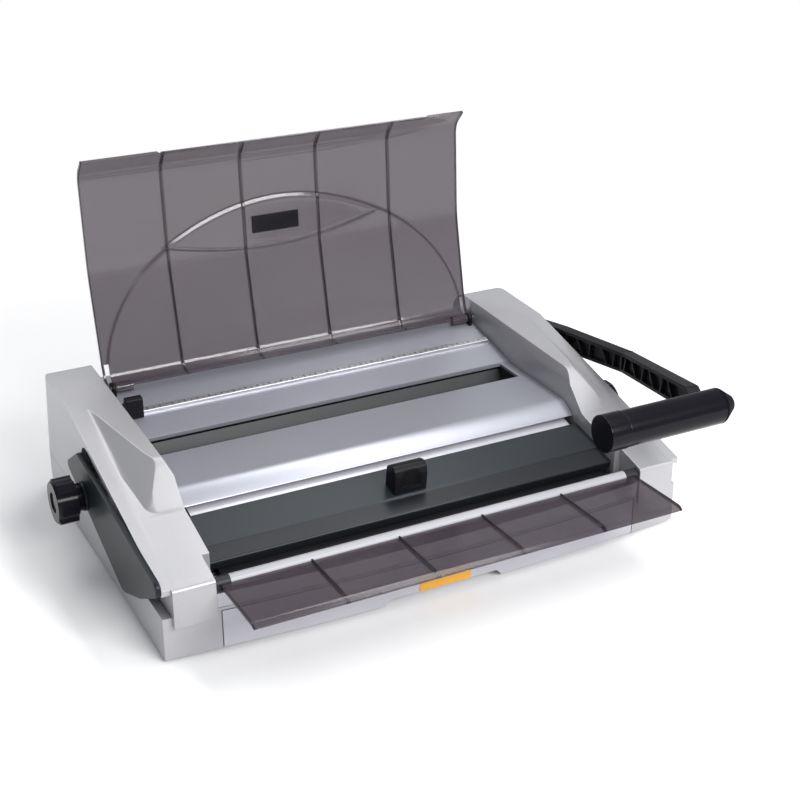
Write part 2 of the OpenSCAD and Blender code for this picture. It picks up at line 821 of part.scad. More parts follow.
// Ears on the deck that the lid's pins turn in
ear_t = 3;
ear_x = inner_x - 6;
knuckle_l = 14;
knuckle_x = ear_x - side_c;
module lid_hinge_ears() {
    w = ear_t;
    color(black)
        both_sides()
            difference() {
                along_x(ear_x, w)
                    polygon(rounded([
                        [lid_y - 5, back_deck_z(lid_y - 5), 0], [lid_y + 5, back_deck_z(lid_y + 5), 0],
                        [lid_y + 5, lid_z + 4.5, 4], [lid_y - 5, lid_z + 4.5, 4]
                    ]));
                bar_x(ear_x - 1, w + 2, lid_pin_r + run_c, lid_y, lid_z);
            }
}

// The lid lies forward along -y when closed; at rest it stands open
module as_opened() {
    translate([0, lid_y, lid_z]) rotate([-lid_swing, 0, 0]) children();
}

// Side outline of the closed lid from its hinge: back flange, crown, curved front
lid_deep = 60;
lid_low = 2;
lid_crown = [-lid_l / 2, lid_rise + 3];
lid_fold = [12 - lid_l, lid_rise - 3.5];
function lid_corners() = [
    [4, -lid_deep, 0],
    [-1, lid_rise - 3.5, 9],
    [lid_crown[0], lid_crown[1], 150],
    [lid_fold[0], lid_fold[1], 22],
    [-lid_l - (lid_deep - lid_low) * 0.92, -lid_deep, 0]
];
module lid_band(t0, t1) {
    difference() {
        polygon(rounded(inset(lid_corners(), t0), 7));
        polygon(rounded(inset(lid_corners(), t1), 7));
        translate([-2 * lid_l, -2 * lid_deep - lid_low]) square([3 * lid_l, 2 * lid_deep]);
    }
}

// Smoked lid with ribs between its panels, notched where the ears stand
module lid_panel() {
    rib_w = 1.4;
    rib_h = 1.6;
    half = lid_w / 2;
    color(smoke, 0.6) as_opened() difference() {
        union() {
            along_x(-half, 2 * half) lid_band(0, lid_t);
            for (i = [1:lid_panels - 1])
                along_x(-half + i * lid_w / lid_panels - rib_w / 2, rib_w)
                    intersection() {
                        lid_band(lid_t - 0.2, lid_t + rib_h);
                        translate([-lid_l - 10, lid_low]) square([lid_l + 6, lid_deep]);
                    }
            both_sides() bar_x(knuckle_x - knuckle_l, knuckle_l, knuckle_r, 0, 0);
        }
        both_sides() {
            block([knuckle_x, -20, -20], [ear_x + ear_t + side_c, 20, 20]);
            bar_x(knuckle_x - knuckle_l - 1, 2 * knuckle_l, lid_pin_r, 0, 0);
        }
    }
}

// Dark plate on the middle of the lid, left plain
plaque_x0 = -26;
module lid_plaque() {
    w = 40;
    h = 14;
    t = 1;
    fall = atan2(lid_crown[1] - lid_fold[1], lid_crown[0] - lid_fold[0]);
    from_crown = 18.5;
    color(black) as_opened() translate([plaque_x0, lid_crown[0], lid_crown[1]])
        rotate([fall, 0, 0]) translate([0, -from_crown, -lid_t - t])
            block([0, -h / 2, 0], [w, h / 2, t]);
}

// Steel pins that the lid turns on, held in its end knuckles
module lid_pins() {
    start = knuckle_x - knuckle_l;
    color(steel) both_sides() bar_x(start, lid_pin_end - start, lid_pin_r, lid_y, lid_z);
}

// The flap lies forward from its rod at rest
flap_rise = 2.1;
flap_panels = 5;
module flap_panel() {
    half = flap_w / 2;
    rib_w = 1.4;
    rib_h = 1.2;
    lip = 2;
    t = flap_t;
    root = 1.5 - flap_rod_r;
    color(smoke, 0.6) translate([0, flap_y, flap_z]) rotate([-flap_rise, 0, 0]) difference() {
        union() {
            along_x(-half, 2 * half)
                polygon(rounded([
                    [root, t / 2, 0], [-flap_l + t + 1, t / 2, 6], [-flap_l, -lip, 0],
                    [-flap_l + t, -lip, 0], [-flap_l + t + 2.5, -t / 2, 3.5], [root, -t / 2, 0]
                ]));
            for (i = [1:flap_panels - 1])
                along_x(-half + i * flap_w / flap_panels - rib_w / 2, rib_w)
                    polygon([
                        [root, t / 2 - eps], [root, t / 2 + rib_h],
                        [-flap_l + 9, t / 2 + rib_h], [-flap_l + 8, t / 2 - eps]
                    ]);
        }
        bar_x(-half - 1, flap_w + 2, flap_rod_r, 0, 0);
    }
}

// Black rod along the flap's hinge
module flap_rod() {
    color(black) bar_x(-flap_rod_l, 2 * flap_rod_l, flap_rod_r, flap_y, flap_z);
}

// Handle: the arm runs beside the right housing, then turns inwards to the grip
arm_x = side_x + 2.5;
arm_bend_y = front_y + 80.5;
arm_turn = 13.1;
grip_y = punch_y - grip_reach;
grip_z = shaft_z + grip_rise;
arm_end = (arm_bend_y - grip_y) / cos(arm_turn);
grip_x = arm_x + arm_t / 2 - arm_end * sin(arm_turn);
grip_x0 = grip_x - 83;
module arm_pocket(list) {
    polygon(rounded(inset(list, 2.6), 2));
}

// Side outlines of the arm's two lengths: hub to bend, and bend to grip
arm_mid = [arm_bend_y, shaft_z + 33];
arm_deep = 16;
arm_mitre = arm_t / 2 * tan(arm_turn / 2);
arm_lap = 0.2;
arm_near_end = arm_bend_y - arm_mitre + arm_lap / 2;
arm_near = [
    [punch_y - 4, shaft_z - 6, 4], [punch_y + 3, shaft_z + 8, 4], [punch_y - 2, shaft_z + 15.5, 6],
    [punch_y - 76, shaft_z + 28.5, 60], [arm_near_end, arm_mid[1] + arm_deep / 2, 0],
    [arm_near_end, arm_mid[1] - arm_deep / 2, 0], [punch_y - 60, shaft_z + 8, 60]
];
arm_far_start = arm_mitre + arm_lap;
arm_far = [
    [arm_far_start, -arm_deep / 2, 0], [arm_far_start, arm_deep / 2, 0], [16 - arm_end, 31, 6],
    [4 - arm_end, 23, 3], [4 - arm_end, 12, 3], [14 - arm_end, 13.5, 3]
];
eye_w = 14;
eye_r = grip_r - 2.3;
spindle_r = 5;

// The turned length from the bend to the grip, grown by a clearance
module arm_far_bar(grow) {
    t = arm_t + 2 * grow;
    translate([arm_x + arm_t / 2, arm_mid[0], arm_mid[1]]) rotate([0, 0, -arm_turn])
        along_x(-t / 2, t) polygon(rounded(inset(arm_far, -grow), 3));
}

// The pockets on both faces of a length, with the ribs left standing
module arm_pockets(list, x0, n, y0, z0, lean) {
    web = 4;
    deep = (arm_t - web) / 2;
    for (x = [x0 - 1, x0 + arm_t - deep])
        difference() {
            along_x(x, deep + 1) arm_pocket(list);
            along_x(x - 1, deep + 3) arm_braces(n, y0, z0, lean);
        }
}
module handle_arm() {
    color(black) difference() {
        union() {
            difference() {
                along_x(arm_x, arm_t) polygon(rounded(arm_near, 3));
                arm_pockets(arm_near, arm_x, 9, punch_y - 22, shaft_z + 14, 8);
            }
            difference() {
                arm_far_bar(0);
                translate([arm_x + arm_t / 2, arm_mid[0], arm_mid[1]]) rotate([0, 0, -arm_turn])
                    arm_pockets(arm_far, -arm_t / 2, 6, -8, 2, 12);
            }
            bar_x(arm_x, arm_t + 1, hub_r, punch_y, shaft_z);
            bar_x(grip_x - eye_w / 2, eye_w, eye_r, grip_y, grip_z);
        }
        bar_x(arm_x - 1, arm_t + 3, shaft_r, punch_y, shaft_z);
        bar_x(grip_x - eye_w, 2 * eye_w, spindle_r, grip_y, grip_z);
    }
}

// Diagonal ribs in the arm's pockets
module arm_braces(n, y0, z0, lean) {
    pitch = 17;
    for (i = [0:n - 1])
        translate([y0 - i * pitch, z0 + i * pitch * 0.16]) rotate(i % 2 == 0 ? lean : -lean - 30)
            square([2, 44], center = true);
}

// Steel rod through the arm's eye that carries the grip
collar_l = 16;
sleeve_l = 81;
module grip_spindle() {
    color(steel) bar_x(grip_x0 + 4, collar_l + sleeve_l - 5, spindle_r, grip_y, grip_z);
}

// Grip sleeve, relieved round the arm's end
module handle_grip() {
    relief = 0.2;
    color(black) difference() {
        bar_x(grip_x0 + collar_l, sleeve_l, grip_r, grip_y, grip_z);
        bar_x(grip_x0, collar_l + sleeve_l + 10, spindle_r, grip_y, grip_z);
        bar_x(grip_x - eye_w / 2 - relief, eye_w + 2 * relief, eye_r + relief, grip_y, grip_z);
        arm_far_bar(relief);
    }
}

// Collar at the grip's inner end
module grip_collar() {
    color(black) difference() {
        bar_x(grip_x0, collar_l, grip_r + 0.4, grip_y, grip_z);
        bar_x(grip_x0 + 4, collar_l, spindle_r, grip_y, grip_z);
    }
}

// Cone at the grip's outer end
module grip_end_cap() {
    cone = grip_l - collar_l - sleeve_l;
    color(black) translate([grip_x0 + collar_l + sleeve_l, grip_y, grip_z]) rotate([0, 90, 0])
        rotate_extrude() polygon([[0, 0], [grip_r, 0], [grip_r, 1.5], [5.5, cone], [0, cone]]);
}

// Punch shaft from the left frame plate out through the right housing
punch_end = arm_x + arm_t + 1;
module punch_shaft() {
    color(steel) bar_x(-frame_x - bush_l - 3, punch_end + frame_x + bush_l + 3, shaft_r, punch_y, shaft_z);
}

// A drive pinion on the +x side, one tooth space upwards
module pinion(y, z, bore, lean) {
    translate([rack_x, y, z]) rotate([0, 90, 0]) rotate(180 + 180 / drive_teeth - lean)
        difference() {
            linear_extrude(rack_t) polygon(gear_points(drive_teeth, drive_r));
            translate([0, 0, -1]) cylinder(h = rack_t + 2, r = bore);
        }
}
module punch_pinions() {
    color(steel) both_sides() pinion(punch_y, shaft_z, shaft_r, 0);
}

// Snap rings that keep the punch shaft and the lever's tube in place
module shaft_clips() {
    clip_t = 1.2;
    color(steel) translate([-frame_x - bush_l - 2.5, punch_y, shaft_z]) bush(shaft_r - run_c, clip_t, shaft_r + 2.5);
}

// Domed screw in the end of the punch shaft
module hub_screw() {
    color(black) translate([punch_end, punch_y, shaft_z]) rotate([0, 90, 0])
        rotate_extrude() polygon([[0, 0], [9, 0], [9, 1.2], [7, 3], [0, 3.6]]);
}

// Punch holder: the bar that carries the pins
holder_front = guide_back + 1.3;
holder_d = 14;
holder_h = 16;
module punch_holder() {
    color(steel) difference() {
        block(
            [-rack_x, holder_front, pin_z - holder_h / 2],
            [rack_x, holder_front + holder_d, pin_z + holder_h / 2]
        );
        for (i = [0:pin_n - 1])
            translate([(i - (pin_n - 1) / 2) * pin_pitch - pin_s / 2, holder_front - 1, pin_z - pin_s / 2])
                cube([pin_s, 1 + holder_d / 2, pin_s]);
    }
}

// Square punch pins, seated in the holder, through the guide and the die
module punch_pins() {
    tip = die_front - 0.5;
    color(steel)
        for (i = [0:pin_n - 1])
            translate([(i - (pin_n - 1) / 2) * pin_pitch - pin_s / 2, tip, pin_z - pin_s / 2])
                cube([pin_s, holder_front + holder_d / 2 - 1 - tip, pin_s]);
}

// Link arms from the holder up to the racks over the punch pinions
module punch_racks() {
    m = drive_m;
    pitch = PI * m;
    rack_z = shaft_z + drive_r;
    front_teeth = ceil((punch_stroke + 6) / pitch);
    teeth = front_teeth + 2;
    rack_front = punch_y - (front_teeth + 0.5) * pitch;
    low = pin_z - holder_h / 2;
    base = 1.25 * m;
    body = 3;
    bend_y = rack_front - 14;
    color(steel) both_sides()
        along_x(rack_x, rack_t) union() {
            translate([punch_y - front_teeth * pitch, rack_z]) rack_outline(teeth, m, body);
            polygon([
                [holder_front, low], [holder_front + holder_d + 3.5, low],
                [rack_front - 4, rack_z + base], [rack_front + 2, rack_z + base],
                [rack_front + 2, rack_z + base + body], [bend_y, back_deck_z(bend_y) - deck_t - 1],
                [holder_front + 8, pin_z + holder_h / 2], [holder_front, pin_z + holder_h / 2]
            ]);
        }
}

// Closing lever: a broad blade along the left side
lever_x = side_x + 1;
module closing_lever() {
    y = lever_y;
    z = pivot_z;
    outline = [
        [y + 44, z + 8, 4], [y + 10, z + 30, 4], [y - 158, z + 13, 5], [y - 162, z + 5, 6],
        [y - 122, z - 18, 22], [y - 82, z - 35, 14]
    ];
    color("#3a4544") difference() {
        union() {
            along_x(-lever_x - lever_t, lever_t) polygon(rounded(outline));
            bar_x(-lever_x - lever_t - 2, 2 + lever_t / 2, 11, y, z);
        }
        bar_x(-lever_x - lever_t - 3, lever_t + 4, tube_r, y, z);
    }
}

// Tube that the lever turns; the size shaft runs inside it
tube_end = inner_x + 12.5;
tube_start = lever_x + lever_t + 2;
module closer_tube() {
    color(steel) difference() {
        bar_x(-tube_start, tube_start + tube_end, tube_r, lever_y, pivot_z);
        bar_x(-tube_start - 1, tube_start + tube_end + 2, knob_shaft_r + run_c, lever_y, pivot_z);
    }
}
module closer_pinions() {
    color(steel) both_sides() pinion(lever_y, pivot_z, tube_r, bar_slope);
}

// Lug on the tube that comes down on the wire-size cam
lug_x = inner_x + 6.5;
lug_t = 5;
module stop_lug() {
    y = lever_y;
    top = stub_z + cam_r + 0.4;
    color(steel) difference() {
        union() {
            bar_x(lug_x, lug_t, 10, y, pivot_z);
            along_x(lug_x, lug_t)
                polygon([
                    [y, pivot_z - 2], [stub_y + 4, top], [stub_y - 4, top], [stub_y - 4, top + 7],
                    [y - 4, pivot_z + 9], [y, pivot_z + 9]
                ]);
        }
        bar_x(lug_x - 1, lug_t + 2, tube_r, y, pivot_z);
    }
}

// Closing bar: slate plate with a lower front step
bar_x_half = inner_x - side_c;
module closing_bar() {
    step = 1.2;
    step_u = bar_front_u + 0.32 * bar_w;
    r = bar_rise;
    color(slate) on_slope()
        along_x(-bar_x_half, 2 * bar_x_half)
            polygon(rounded([
                [bar_front_u, r - bar_t, 0.6], [bar_back_u, r - bar_t, 0.6], [bar_back_u, r, 1.5],
                [step_u + 1.5, r, 0], [step_u, r - step, 0], [bar_front_u, r - step, 2]
            ], 3));
}

// Side arms of the closing bar with racks over the lever's pinions
module closer_racks() {
    m = drive_m;
    pitch = PI * m;
    front_teeth = ceil((lever_stroke + 6) / pitch);
    teeth = front_teeth + 2;
    base = 1.25 * m;
    body = 4;
    arm_low = drive_r + base;
    front = -(front_teeth + 0.5) * pitch;
    color(steel) both_sides() on_slope() {
        along_x(rack_x, rack_t) {
            translate([-front_teeth * pitch, drive_r]) rack_outline(teeth, m, body);
            translate([bar_front_u + 6, arm_low]) square([front - bar_front_u - 6 + eps, body]);
            translate([bar_front_u + 6, arm_low]) square([bar_w - 10, bar_rise - bar_t - arm_low]);
        }
    }
}

// Rounded tab on the middle of the bar, hollowed in front for a finger
module bar_tab() {
    depth = 15;
    u0 = bar_front_u + 0.32 * bar_w + 3;
    outline = [
        [u0, bar_rise, 0], [u0 + depth, bar_rise, 0], [u0 + depth + 1, bar_rise + tab_h - 5, 5],
        [u0 + 5, bar_rise + tab_h, 5], [u0 + 1, bar_rise + tab_h - 8, 8]
    ];
    color(black) on_slope() difference() {
        along_x(-tab_w / 2, tab_w) polygon(rounded(outline));
        translate([0, u0 - 15, bar_rise + 4]) cylinder(h = tab_h, r = 18);
    }
}

// A knob on the +x side: lobed head and a collar
module knob(x, y, z, shaft) {
    collar = 5;
    flute_r = knob_r * 0.6;
    flute_d = 1.8;
    translate([x, y, z]) rotate([0, 90, 0]) difference() {
        union() {
            cylinder(h = collar + 1, r = knob_r * 0.6);
            translate([0, 0, collar]) cylinder(h = knob_l - collar - 2, r = knob_r);
            translate([0, 0, knob_l - 2]) cylinder(h = 2, r1 = knob_r, r2 = knob_r - 2);
        }
        for (i = [0:knob_lobes - 1])
            rotate(360 / knob_lobes * i)
                translate([knob_r + flute_r - flute_d, 0, collar - 0.5]) cylinder(h = knob_l, r = flute_r);
        translate([0, 0, -1]) cylinder(h = knob_l - 3, r = shaft);
        translate([0, 0, knob_l - 1]) cylinder(h = 2, r = knob_r * 0.45);
    }
}
left_knob_x = tube_start + side_c;
right_knob_x = side_x + 3;
module left_knob() {
    color(black) mirror([1, 0, 0]) knob(left_knob_x, lever_y, pivot_z, knob_shaft_r);
}
module right_knob() {
    color(black) knob(right_knob_x, stub_y, stub_z, knob_shaft_r);
}

// Size shaft from the left knob through the tube to the gear in the right housing
gear_x = tube_end + 3;
gear_t = 6;
module size_shaft() {
    start = left_knob_x + knob_l - 4;
    color(steel) bar_x(-start, start + gear_x + gear_t + 3, knob_shaft_r, lever_y, pivot_z);
}

// The two equal gears that turn the knobs against each other
gear_lean = atan2(-stub_dz, lever_y - stub_y);
module knob_gear(y, z, phase) {
    translate([gear_x, y, z]) rotate([90, 0, 90]) rotate(phase) difference() {
        linear_extrude(gear_t) polygon(gear_points(gear_teeth, gear_r));
        translate([0, 0, -1]) cylinder(h = gear_t + 2, r = knob_shaft_r);
    }
}
module size_gear() {
    color(brass_col) knob_gear(lever_y, pivot_z, 180 + gear_lean);
}
module stub_gear() {
    color(brass_col) knob_gear(stub_y, stub_z, gear_lean + 180 / gear_teeth);
}

// Short shaft of the right knob with the snail cam that sets the wire size
module stub_shaft() {
    color(steel)
        bar_x(frame_x, right_knob_x + knob_l - 4 - frame_x, knob_shaft_r, stub_y, stub_z);
}
module size_cam() {
    shrink = 4.4;
    steps = 30;
    color(steel) translate([lug_x, stub_y, stub_z]) rotate([90, 0, 90]) difference() {
        linear_extrude(lug_t)
            polygon([
                for (k = [0:steps])
                    let (t = 310 * k / steps)
                    (cam_r - shrink * max(0, t - 15) / 295) * [cos(105 - t), sin(105 - t)]
            ]);
        translate([0, 0, -1]) cylinder(h = lug_t + 2, r = knob_shaft_r);
    }
}

// Chip drawer: bowed front panel with a raised finger edge and a shallow tray
panel_t = 3;
panel_z0 = tray_z + 0.8;
panel_z1 = base_h - base_wall - 0.4;
module chip_drawer() {
    panel_x = drawer_w / 2;
    tray_y0 = front_y + 1.5;
    tray_y1 = front_y + tray_d;
    z0 = floor_z + 0.5;
    w = drawer_wall;
    color(silver_pale) union() {
        difference() {
            translate([0, 0, panel_z0]) linear_extrude(panel_z1 - panel_z0)
                polygon(concat(bow(0, panel_x), reversed(bow(-panel_t, panel_x))));
            finger_edge();
        }
        difference() {
            block([-tray_x, tray_y0 - 12, z0], [tray_x, tray_y1, z0 + tray_h]);
            block([w - tray_x, tray_y0, z0 + w], [tray_x - w, tray_y1 - w, z0 + tray_h + 1]);
            translate([0, 0, -1]) linear_extrude(base_h * 2)
                polygon(concat(bow(-panel_t + eps, panel_x + 5), [[panel_x, front_y - 50], [-panel_x, front_y - 50]]));
        }
    }
}

// The raised finger edge under the drawer's front panel
module finger_edge() {
    ramp = 6;
    translate([0, front_y + 10, panel_z0 - 1]) rotate([90, 0, 0]) linear_extrude(40)
        polygon([
            [-finger_half_w - ramp, 0], [finger_half_w + ramp, 0], [finger_half_w, finger_h + 1],
            [-finger_half_w, finger_h + 1]
        ]);
}

// Amber label on the drawer's front, left plain
module drawer_label() {
    w = 41;
    z0 = panel_z0 + finger_h + 0.8;
    h = 12;
    color(amber) translate([0, 0, z0]) linear_extrude(h)
        polygon(concat(
            [for (x = [-w / 2:w / 4:w / 2]) [x, front_curve(x, 0.45)]],
            [for (x = [w / 2:-w / 4:-w / 2]) [x, front_curve(x, 0.05)]]
        ));
}

// Paper guide: a block that straddles the ruler strip
guide_x0 = 0.5 - ruler_x;
module paper_guide() {
    y0 = ruler_y - 5;
    y1 = ruler_y + ruler_w + 3;
    c = side_c;
    z = back_deck_z(ruler_y);
    top = z + 16;
    color(black) difference() {
        along_x(guide_x0, guide_w)
            polygon(rounded([
                [y0, back_deck_z(y0) + c, 0], [y1, back_deck_z(y1) + c, 0], [y1, z + 9, 2],
                [ruler_y + 4, z + 9, 0], [ruler_y + 2, top, 1.5], [y0, top, 2]
            ]));
        along_x(guide_x0 - 1, guide_w + 2)
            polygon([
                [ruler_y - c, z - 3], [ruler_y + ruler_w + c, z - 3],
                [ruler_y + ruler_w + c, back_deck_z(ruler_y + ruler_w) + ruler_h + c],
                [ruler_y - c, z + ruler_h + c]
            ]);
    }
}

base_pan();
rubber_feet();
left_housing();
right_housing();
top_deck();
rear_cover();
front_sill();
paper_throat();
ruler_strip();
left_frame_plate();
right_frame_plate();
tie_rods();
die_plate();
guide_plate();
paper_stop();
closer_bed();
shaft_bushes();
drawer_rails();
frame_screws();
lid_hinge_ears();
lid_panel();
lid_plaque();
lid_pins();
flap_panel();
flap_rod();
handle_arm();
grip_spindle();
handle_grip();
grip_collar();
grip_end_cap();
punch_shaft();
punch_pinions();
shaft_clips();
hub_screw();
punch_holder();
punch_pins();
punch_racks();
closing_lever();
closer_tube();
closer_pinions();
stop_lug();
closing_bar();
closer_racks();
bar_tab();
left_knob();
size_shaft();
size_gear();
right_knob();
stub_shaft();
stub_gear();
size_cam();
chip_drawer();
drawer_label();
paper_guide();
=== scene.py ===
import json
from math import atan2, cos, hypot, pi, radians, sin, tan

import bpy
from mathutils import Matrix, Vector

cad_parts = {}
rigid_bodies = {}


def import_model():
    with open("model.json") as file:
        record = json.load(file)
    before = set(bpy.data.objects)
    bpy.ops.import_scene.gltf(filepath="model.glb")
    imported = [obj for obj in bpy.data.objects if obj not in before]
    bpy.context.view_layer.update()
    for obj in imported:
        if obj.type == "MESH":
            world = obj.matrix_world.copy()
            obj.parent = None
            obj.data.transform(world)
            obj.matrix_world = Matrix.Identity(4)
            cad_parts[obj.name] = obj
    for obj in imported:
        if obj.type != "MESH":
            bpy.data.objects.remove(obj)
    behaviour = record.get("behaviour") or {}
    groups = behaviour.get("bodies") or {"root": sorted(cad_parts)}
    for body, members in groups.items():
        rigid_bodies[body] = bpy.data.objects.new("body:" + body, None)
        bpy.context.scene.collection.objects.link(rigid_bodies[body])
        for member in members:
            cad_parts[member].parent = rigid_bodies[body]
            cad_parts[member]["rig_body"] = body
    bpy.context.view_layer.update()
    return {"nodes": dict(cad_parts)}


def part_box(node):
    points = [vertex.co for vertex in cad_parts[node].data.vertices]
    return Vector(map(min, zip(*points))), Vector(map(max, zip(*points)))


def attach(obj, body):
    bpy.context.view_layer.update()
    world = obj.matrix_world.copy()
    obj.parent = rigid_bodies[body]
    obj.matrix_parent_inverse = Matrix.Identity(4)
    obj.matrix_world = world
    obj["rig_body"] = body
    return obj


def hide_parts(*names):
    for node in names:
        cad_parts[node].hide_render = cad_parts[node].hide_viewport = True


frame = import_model()
nodes = frame["nodes"]


# Camera: stands in front of the left end, a little above the open lid's lower edge,
# where the straight edges of the machine in the photograph put it.
camera_data = bpy.data.cameras.new("photo_camera")
camera_data.lens = 67.34
camera_data.sensor_width = 36
camera = bpy.data.objects.new("photo_camera", camera_data)
camera.location = (-0.4404, -0.9332, 0.5745)
look_at = Vector((0.05889, 0.03278, 0.06175))
camera.rotation_euler = (look_at - camera.location).to_track_quat("-Z", "Y").to_euler()
bpy.context.collection.objects.link(camera)
bpy.context.scene.camera = camera


# Lamps: a soft one high up behind the machine, a long strip over its deck and the
# strongest in front, high enough to keep its mirror image out of the open lid.
def soft_lamp(name, place, aim, size, watts):
    """A rectangular soft lamp that faces a point."""
    lamp = bpy.data.lights.new(name, "AREA")
    lamp.shape = "RECTANGLE"
    lamp.size, lamp.size_y = size
    lamp.energy = watts
    holder = bpy.data.objects.new(name, lamp)
    holder.location = place
    holder.rotation_euler = (Vector(aim) - Vector(place)).to_track_quat("-Z", "Y").to_euler()
    bpy.context.collection.objects.link(holder)


soft_lamp("back_lamp", place=(-0.3, 0.9, 1.3), aim=(0, 0, 0.05), size=(0.9, 0.9), watts=6)
soft_lamp("deck_strip_lamp", place=(0.5, -0.02, 1.25), aim=(0.1, -0.05, 0.07), size=(1.8, 0.3), watts=11)
soft_lamp("front_lamp", place=(0.4, -1.65, 1.15), aim=(0, 0, 0.05), size=(1.2, 0.6), watts=38)


# Room: plain white where the camera sees it, also through the smoked pieces, and a
# dimmer, cooler white where it lights the machine or mirrors in it.
room = bpy.data.worlds.new("white_room")
bpy.context.scene.world = room
room.use_nodes = True
room_nodes, room_links = room.node_tree.nodes, room.node_tree.links
ambient = room_nodes["Background"]
ambient.inputs["Color"].default_value = (0.93, 0.95, 1.0, 1)
ambient.inputs["Strength"].default_value = 0.4
backdrop = room_nodes.new("ShaderNodeBackground")
backdrop.inputs["Color"].default_value = (1, 1, 1, 1)
rays = room_nodes.new("ShaderNodeLightPath")
seen = room_nodes.new("ShaderNodeMath")
seen.operation = "MAXIMUM"
room_mix = room_nodes.new("ShaderNodeMixShader")
room_links.new(rays.outputs["Is Camera Ray"], seen.inputs[0])
room_links.new(rays.outputs["Is Transmission Ray"], seen.inputs[1])
room_links.new(seen.outputs[0], room_mix.inputs["Fac"])
room_links.new(ambient.outputs[0], room_mix.inputs[1])
room_links.new(backdrop.outputs[0], room_mix.inputs[2])
room_links.new(room_mix.outputs[0], room_nodes["World Output"].inputs["Surface"])


# Table: a matt white top. To the camera it brightens into the white of the room
# between two distances from the machine.
fade_start, fade_end = 0.3, 0.75
bpy.ops.mesh.primitive_plane_add(size=8, location=(0, 0, 0))
table_top = bpy.context.active_object
table_top.name = "table_top"
table_white = bpy.data.materials.new("white_table")
table_white.use_nodes = True
table_nodes, table_links = table_white.node_tree.nodes, table_white.node_tree.links
table_nodes.remove(table_nodes["Principled BSDF"])
matt = table_nodes.new("ShaderNodeBsdfDiffuse")
matt.inputs["Color"].default_value = (0.93, 0.93, 0.93, 1)
glow = table_nodes.new("ShaderNodeEmission")
glow.inputs["Strength"].default_value = 1.0
table_place = table_nodes.new("ShaderNodeTexCoord")
away = table_nodes.new("ShaderNodeVectorMath")
away.operation = "LENGTH"
fade = table_nodes.new("ShaderNodeMapRange")
fade.interpolation_type = "SMOOTHSTEP"
fade.inputs["From Min"].default_value = fade_start
fade.inputs["From Max"].default_value = fade_end
table_rays = table_nodes.new("ShaderNodeLightPath")
far_and_seen = table_nodes.new("ShaderNodeMath")
far_and_seen.operation = "MULTIPLY"
table_mix = table_nodes.new("ShaderNodeMixShader")
table_links.new(table_place.outputs["Object"], away.inputs[0])
table_links.new(away.outputs["Value"], fade.inputs["Value"])
table_links.new(fade.outputs["Result"], far_and_seen.inputs[0])
table_links.new(table_rays.outputs["Is Camera Ray"], far_and_seen.inputs[1])
table_links.new(far_and_seen.outputs[0], table_mix.inputs["Fac"])
table_links.new(matt.outputs[0], table_mix.inputs[1])
table_links.new(glow.outputs[0], table_mix.inputs[2])
table_links.new(table_mix.outputs[0], table_nodes["Material Output"].inputs["Surface"])
table_top.data.materials.append(table_white)


# Base tray: an injection-moulded tray in silver lacquer with an inward lip, open in
# front for the drawer. Its edges are broken by half a millimetre.
def select_only(piece):
    """Selects one object and makes it active."""
    bpy.ops.object.select_all(action="DESELECT")
    piece.select_set(True)
    bpy.context.view_layer.objects.active = piece


def apply_modifiers(piece):
    """Applies every modifier of a piece, in order."""
    select_only(piece)
    for modifier in [m.name for m in piece.modifiers]:
        bpy.ops.object.modifier_apply(modifier=modifier)


def break_edges(piece, width, steps=2, clamp=False, spared=None):
    """Rounds a piece's sharp edges, apart from spared ones, and shades flats flat and rounds smooth."""
    sharp_from, smooth_below = radians(30), radians(40)
    select_only(piece)
    bpy.ops.object.mode_set(mode="EDIT")
    bpy.ops.mesh.select_mode(type="EDGE")
    bpy.ops.mesh.select_all(action="DESELECT")
    bpy.ops.mesh.edges_select_sharp(sharpness=sharp_from)
    bpy.ops.object.mode_set(mode="OBJECT")
    places = [vertex.co for vertex in piece.data.vertices]
    for line in piece.data.edges:
        if spared and line.select and all(spared(places[end]) for end in line.vertices):
            line.select = False
    bpy.ops.object.mode_set(mode="EDIT")
    bpy.ops.transform.edge_bevelweight(value=1)
    bpy.ops.object.mode_set(mode="OBJECT")
    edge = piece.modifiers.new("broken_edges", "BEVEL")
    edge.width = width
    edge.segments = steps
    edge.limit_method = "WEIGHT"
    edge.use_clamp_overlap = clamp
    edge.loop_slide = False
    edge.miter_outer = "MITER_ARC"
    apply_modifiers(piece)
    select_only(piece)
    bpy.ops.object.shade_smooth_by_angle(angle=smooth_below)
    flats = piece.modifiers.new("flat_flats", "WEIGHTED_NORMAL")
    flats.keep_sharp = True
    apply_modifiers(piece)


def clean_copy(node, whole_flats):
    """A copy of a CAD node with its doubles merged, and its flats made whole or cut into even triangles."""
    doubles_within, flat_within = 1e-5, radians(0.3)
    piece = bpy.data.objects.new(node + "_finished", nodes[node].data.copy())
    piece.data.materials.clear()
    bpy.context.collection.objects.link(piece)
    select_only(piece)
    bpy.ops.mesh.customdata_custom_splitnormals_clear()
    bpy.ops.object.mode_set(mode="EDIT")
    bpy.ops.mesh.select_all(action="SELECT")
    bpy.ops.mesh.remove_doubles(threshold=doubles_within)
    bpy.ops.mesh.dissolve_limited(angle_limit=flat_within)
    if not whole_flats:
        bpy.ops.mesh.quads_convert_to_tris(quad_method="BEAUTY", ngon_method="BEAUTY")
    bpy.ops.object.mode_set(mode="OBJECT")
    return piece


def body_of(node):
    """The name of the body that a CAD node is part of."""
    return nodes[node]["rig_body"]


def finish_node(node, material, edge, clamp=False, spared=None, whole_flats=False):
    """Stands a copy with broken edges in for a CAD node."""
    piece = clean_copy(node, whole_flats)
    break_edges(piece, edge, clamp=clamp, spared=spared)
    piece.data.materials.append(material)
    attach(piece, body_of(node))
    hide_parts(node)


def paint_node(node, material):
    """Gives a CAD node that stays as it is a finish of its own."""
    for place in nodes[node].material_slots:
        place.material = material


